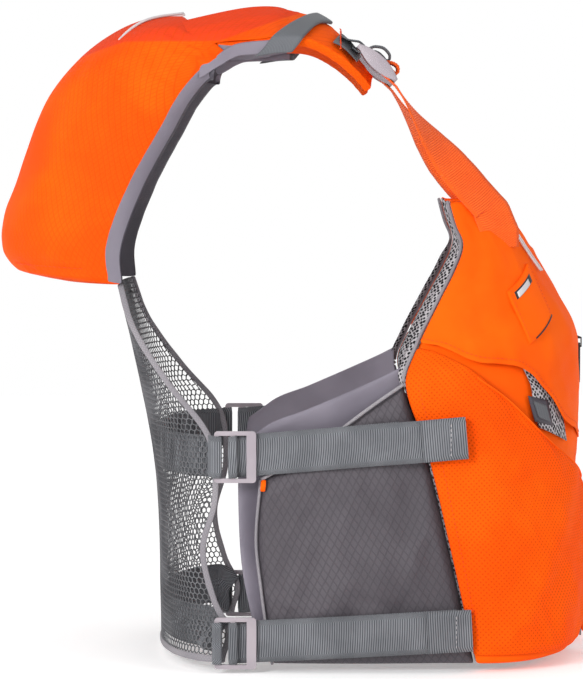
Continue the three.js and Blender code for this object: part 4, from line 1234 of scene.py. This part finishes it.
def addNet():
    pitch = net["hole"]
    rowStep = pitch * math.sqrt(3) / 2
    height = net["top"] - net["hem"]
    rows = int(height / rowStep)
    widths = {}

    def spread(z):  # arc length table of the net at one height
        key = round(z / 4)
        if key not in widths:
            places = [meshPoint(-1 + k / 60, key * 4, 0) for k in range(121)]
            sums = [0.0]
            for a, b in zip(places, places[1:]):
                sums.append(sums[-1] + (b - a).length)
            widths[key] = sums
        return widths[key]

    def onNet(across, z):  # a point on the net, a distance from the middle line
        sums = spread(z)
        want = clamp(across + sums[60], 0, sums[-1])
        low = int(np.searchsorted(sums, want))
        low = clamp(low, 1, 120)
        t = (want - sums[low - 1]) / max(1e-6, sums[low] - sums[low - 1])
        u = -1 + (low - 1 + t) / 60
        wobble = 0.9 * ripple((across, z, 0), 40, 3)
        return meshPoint(u, z, wobble)
    points, faces, uvs, kinds = [], [], [], []
    found = {}

    def pointId(a, z):
        key = (round(a * 8), round(z * 8))
        if key not in found:
            found[key] = len(points)
            points.append(onNet(a, z))
        return found[key]
    radius = pitch / math.sqrt(3)
    for r in range(rows + 1):
        z = net["hem"] + r * rowStep
        half = spread(z)[60]
        count = int(half / pitch) + 1
        for c in range(-count, count + 1):
            a = (c + 0.5 * (r % 2)) * pitch
            if abs(a) > half - 1.0:
                continue
            corners = []
            for k in range(6):
                turn = math.radians(60 * k + 30)
                corners.append((a + radius * math.cos(turn),
                                clamp(z + radius * math.sin(turn), net["hem"], net["top"])))
            ring = [pointId(*p) for p in corners]
            shrink = 1 - net["yarn"] / pitch
            hole = []
            for k in range(6):
                turn = math.radians(60 * k + 30)
                q = radius * shrink
                points.append(onNet(a + q * math.cos(turn),
                                    clamp(z + q * 1.04 * math.sin(turn), net["hem"], net["top"])))
                hole.append(len(points) - 1)
            for k in range(6):
                n = (k + 1) % 6
                faces.append([ring[k], ring[n], hole[n], hole[k]])
                uvs.append([(corners[k][0], corners[k][1])] * 4)
                kinds.append(0)
    piece = makeObject("backNet", points, faces, kinds, uvs, [yarn])
    thicken = piece.modifiers.new("yarnThickness", "SOLIDIFY")
    thicken.thickness, thicken.offset = net["thick"] / 1000, 0
    settle(piece, stands=("back_mesh",))

    bindingPath = [meshPoint(-1, mix(net["hem"] - 5, net["top"], k / 40), 0) + Vector((0.4, 1.0, 0))
                   for k in range(41)]
    binding = flatTube("netBinding_right", bindingPath, 2.1, 5.2, greyBinding)
    settlePair(binding, "netBinding", stands=("mesh_binding",))
    hemPath = [meshPoint(mix(-1, 1, k / 60), net["hem"] - 1.5, 0) for k in range(61)]
    hem = flatTube("netHem", hemPath, 1.8, 6.0, greyBinding, upright=True)
    settle(hem, stands=("mesh_hem",))
    print("net made,", len(faces), "faces")


addNet()

# buckles and webbing at the sides
sideBuckle = {"rear": 63, "front": 28, "barRear": 4, "barMiddle": 4, "barFront": 8, "thick": 4,
              "clearance": 0.4}
straps = {
    "upper": {"height": -342, "slope": -0.086, "tail": -146, "flare": 9, "anchor": -92, "mesh": -342},
    "lower": {"height": -498, "slope": -0.055, "tail": -151, "flare": 3, "anchor": -140, "mesh": -486},
}
sideWeb = {"width": 35, "thick": 1.4, "rib": 2.1, "spacing": 0.42, "depth": 0.2, "cols": 8}
shoulderWeb = {"width": 38, "thick": 1.4, "rib": 2.1, "spacing": 0.42, "depth": 0.2, "cols": 10}
halfWeb = sideWeb["thick"] / 2
innerLayer = sideBuckle["clearance"] + halfWeb  # distances of the webbing layers' middles from the wing
tailLayer = innerLayer + sideWeb["thick"] + sideBuckle["clearance"]
buckleBack = tailLayer + halfWeb + sideBuckle["clearance"]
overBar = buckleBack + sideBuckle["thick"] + sideBuckle["clearance"] + halfWeb
bars = sideBuckle["barRear"] + sideBuckle["barMiddle"] + sideBuckle["barFront"]
buckleWindow = (sideBuckle["rear"] - sideBuckle["front"] - bars) / 2
middleBar = sideBuckle["rear"] - sideBuckle["barRear"] - buckleWindow - sideBuckle["barMiddle"] / 2


def addSideStraps():
    for level, strap in straps.items():
        wrap = sideBuckle["barMiddle"] / 2 + sideBuckle["clearance"] + halfWeb
        path = []

        def along(start, end, n, steps, flare=0):
            for i in range(steps + 1):
                y = mix(start, end, i / steps)
                path.append((y, n + flare * ease(-y, 60, 110)))
        along(strap["anchor"], middleBar + wrap, innerLayer, 8)
        path += [(middleBar + wrap, overBar), (middleBar - wrap, overBar)]
        along(middleBar - wrap, strap["tail"], tailLayer, 14, strap["flare"])

        def webAt(y, n):
            return Vector((wallX(y) - n, y, strap["height"] + strap["slope"] * (y - middleBar)))
        points = [webAt(y, n) for y, n in path]
        piece = webbing(f"strap_{level}_right", points, lambda t: Vector((0, 0, 1)), sideWeb, [greyWeb])
        settlePair(piece, f"strap_{level}", stands=(f"side_strap_{level}",))
        tabStart = strap["tail"] + 36
        flare = strap["flare"]
        tab = []
        for k in range(9):
            rise = flare * ease(-mix(tabStart, strap["tail"], k / 8), 60, 110)
            tab.append(webAt(mix(tabStart, strap["tail"] - 1.2, k / 8), tailLayer + 1.9 + rise))
        folded = dict(sideWeb, thick=1.5)
        piece = webbing(f"strapEnd_{level}_right", tab, lambda t: Vector((0, 0, 1)), folded, [greyWeb])
        settlePair(piece, f"strapEnd_{level}")
        y = strap["tail"] + 12
        spots = [webAt(y, tailLayer + 3.1 + flare * ease(-y, 60, 110)) + Vector((0, 0, h)) for h in (-14, 14)]
        seam = stitches(f"strapStitch_{level}_right", spots, lambda p: Vector((-1, 0, 0)), thread, 2.8, 1.2,
                        0.4, 0.3)
        settlePair(seam, f"strapStitch_{level}")
    print("side straps made")


addSideStraps()

# belts across the back, just inside the net
belt = {"clearance": 0.9, "inside": -2.4}


def addBelts():
    for level, strap in straps.items():
        rearBar = sideBuckle["rear"] - sideBuckle["barRear"] / 2
        wrap = sideBuckle["barRear"] / 2 + belt["clearance"] + halfWeb
        over = overBar - sideBuckle["clearance"] + belt["clearance"]
        wall = wallX(sideBuckle["rear"])
        inside = belt["inside"]
        half = []
        for u in (0, 0.1, 0.2, 0.3, 0.4, 0.5, 0.6, 0.7, 0.8):
            heights = [strap["mesh"] + k * 17.5 for k in (-1, -0.5, 0, 0.5, 1)]
            p = meshPoint(-u, strap["mesh"], inside)
            p.y = min(meshPoint(-u, z, inside).y for z in heights)
            half.append(p)
        half.append(Vector((-151, meshEdgeY(strap["mesh"]) + 9, mix(strap["mesh"], strap["height"], 0.8))))
        under = buckleBack - belt["clearance"] - halfWeb
        for x, y in ((under, rearBar + wrap - 1), (under, rearBar - wrap), (over, rearBar - wrap),
                     (over, rearBar + wrap - 1), (over - 1.5, rearBar + wrap)):
            half.append(Vector((wall - x, y, strap["height"])))
        points = [Vector((-p.x, p.y, p.z)) for p in half[1:][::-1]] + half
        piece = webbing(f"belt_{level}", points, lambda t: Vector((0, 0, 1)), sideWeb, [greyWeb])
        settle(piece, stands=(f"back_belt_{level}",))
    print("belts made")


addBelts()

# shoulder adjusters
adjuster = {"length": 44, "barRear": 4, "barMiddle": 4, "barFront": 7, "slope": 43, "at": (-86, -73.5, -13),
            "clearance": 0.4, "ribbonGap": 0.9}


def adjusterPlace(d, n):
    slope = math.radians(adjuster["slope"])
    down = Vector((0, -math.cos(slope), -math.sin(slope)))
    away = Vector((0, -math.sin(slope), math.cos(slope)))
    return Vector(adjuster["at"]) + down * d + away * n


def addShoulderWebbing():
    length = adjuster["length"]
    halfThick = shoulderWeb["thick"] / 2
    window = (length - adjuster["barRear"] - adjuster["barMiddle"] - adjuster["barFront"]) / 2
    over = adjuster["barMiddle"] / 2 + adjuster["clearance"] + halfThick
    rearBar = -length / 2 + adjuster["barRear"] / 2
    wrap = adjuster["barRear"] / 2 + adjuster["ribbonGap"] + halfThick
    anchor = [(rearBar - wrap - 14, -over - 0.4), (rearBar - wrap - 8, -over + 1), (rearBar - wrap, wrap),
              (rearBar + wrap, wrap), (rearBar + wrap, -wrap), (rearBar - wrap - 1, -wrap - 1)]
    side = Vector((1, 0, 0))
    ribbonValues = dict(shoulderWeb, width=24, rib=1.6, depth=0.1)
    piece = webbing("anchorLoop_right", [adjusterPlace(d, n) for d, n in anchor], lambda t: side,
                    ribbonValues,
                    [reflective])
    settlePair(piece, "anchorLoop", stands=("shoulder_anchor",))
    middle = -length / 2 + adjuster["barRear"] + window + adjuster["barMiddle"] / 2
    chestUp, chestEnd = frontPoint(0.66, -140, 7.0), frontPoint(0.67, -156, 5.2)
    chestSide = Vector((0.42, -0.88, -0.1))
    points = [adjusterPlace(middle + over + 12, over - 0.4), adjusterPlace(middle + over, over),
              adjusterPlace(middle - over, over), adjusterPlace(middle - over, -over),
              adjusterPlace(length / 2 + 3, -over)]
    start = points[-1]
    for t in (0.2, 0.4, 0.6, 0.8):
        p = start.lerp(chestUp, t)
        p.z += -5 * math.sin(math.pi * t)
        points.append(p)
    points += [chestUp, chestEnd, frontPoint(0.68, -168, -1.5)]
    lengths = [0.0]
    for a, b in zip(points, points[1:]):
        lengths.append(lengths[-1] + (b - a).length)
    share = lengths[4] / lengths[-1]

    def across(t):
        return side.lerp(chestSide.normalized(), ease(t, share * 0.9, share + 0.45))
    piece = webbing("shoulderWeb_right", points, across, shoulderWeb, [orangeWeb])
    settlePair(piece, "shoulderWeb", stands=("shoulder_webbing",))
    print("shoulder webbing made")


addShoulderWebbing()


# adjuster fittings: lens-shaped side walls, the folded webbing end, a finger loop and a ribbon tab
fitting = {"wallThick": 2.6, "wallHalf": 22, "wallRise": 5.6, "loopWidth": 16}


def addAdjusterFittings():
    for k, x in enumerate((-110.4, -64.2)):
        def wall(u, v, out):
            d = mix(-fitting["wallHalf"], fitting["wallHalf"], u)
            half = 0.8 + fitting["wallRise"] * math.sin(math.pi * u) ** 0.8
            p = adjusterPlace(d, mix(-half, half, v) + 0.6)
            p.x = x + out * (0.4 + 0.6 * math.sin(math.pi * v)) * (fitting["wallThick"] / 2)
            return p
        piece = slab(f"adjusterWall{k}_right", 20, 8, lambda u, v: wall(u, v, -1),
                     lambda u, v: wall(u, v, 1), [buckleGrey])
        subdivide(piece)
        settlePair(piece, f"adjusterWall{k}", body="adjuster")
    side = Vector((1, 0, 0))
    tail = [adjusterPlace(d, n) for d, n in ((5, 6.2), (10, 9.5), (15, 10), (18, 6.5), (17, 3.6), (12, 3.4))]
    piece = webbing("webTail_right", tail, lambda t: side, dict(shoulderWeb, width=36, round=3, thick=2.8),
                    [orangeWeb])
    settlePair(piece, "webTail", body="adjuster")
    loop = [adjusterPlace(d, n) for d, n in ((-14, 3.4), (-12, 9), (-5, 14), (3, 13), (6, 9), (3, 6.4),
                                             (-4, 8), (-9, 6))]
    piece = webbing("fingerLoop_right", loop, lambda t: side,
                    dict(shoulderWeb, width=fitting["loopWidth"], rib=1.4, depth=0.08, round=4,
                         thick=2.2), [greyWeb])
    settlePair(piece, "fingerLoop", body="adjuster")
    tab = [sleevePoint(0.42, 0.62 + 0.2 * k / 8, -2.2 - 1.2 * hump(k / 8)) for k in range(9)]
    piece = webbing("ribbonTab_right", tab, lambda t: sleevePoint(0.9, 0.7, 0) - sleevePoint(0.1, 0.7, 0),
                    dict(shoulderWeb, width=26, rib=1.6, depth=0.1), [reflective])
    settlePair(piece, "ribbonTab")
    zigzag = [sleevePoint(mix(0.05, 0.85, k / 20), 0.63 + (0.016 if k % 2 else 0), -4.4) for k in range(21)]
    settlePair(tube("ribbonStitch_right", zigzag, 0.5, orangeThread), "ribbonStitch")
    print("adjuster fittings made")


addAdjusterFittings()


# moulded parts keep their frame shapes, with softened edges
def dressHardware():
    looks = {
        "side_buckle": (buckleGrey, 1.5),  # material and edge softness, in millimetres
        "shoulder_adjuster": (buckleGrey, 0.9),
        "front_zip_slider": (blackMouldingAndSlotShade, 0.4),
        "front_zip_pull": (blackMouldingAndSlotShade, 0.45),
        "front_zip_tape": (blackMouldingAndSlotShade, 0.15),
        "pocket_slider": (zipGrey, 0.3),
        "pocket_pull": (zipGrey, 0.4),
        "pocket_zip": (orangePlain, 0.2),
    }
    for name, piece in nodes.items():
        for start, (material, width) in looks.items():
            if name.startswith(start):
                for place in piece.material_slots:
                    place.material = material
                bevel(piece, width)
                for face in piece.data.polygons:
                    face.use_smooth = False
    print("moulded parts dressed")


dressHardware()
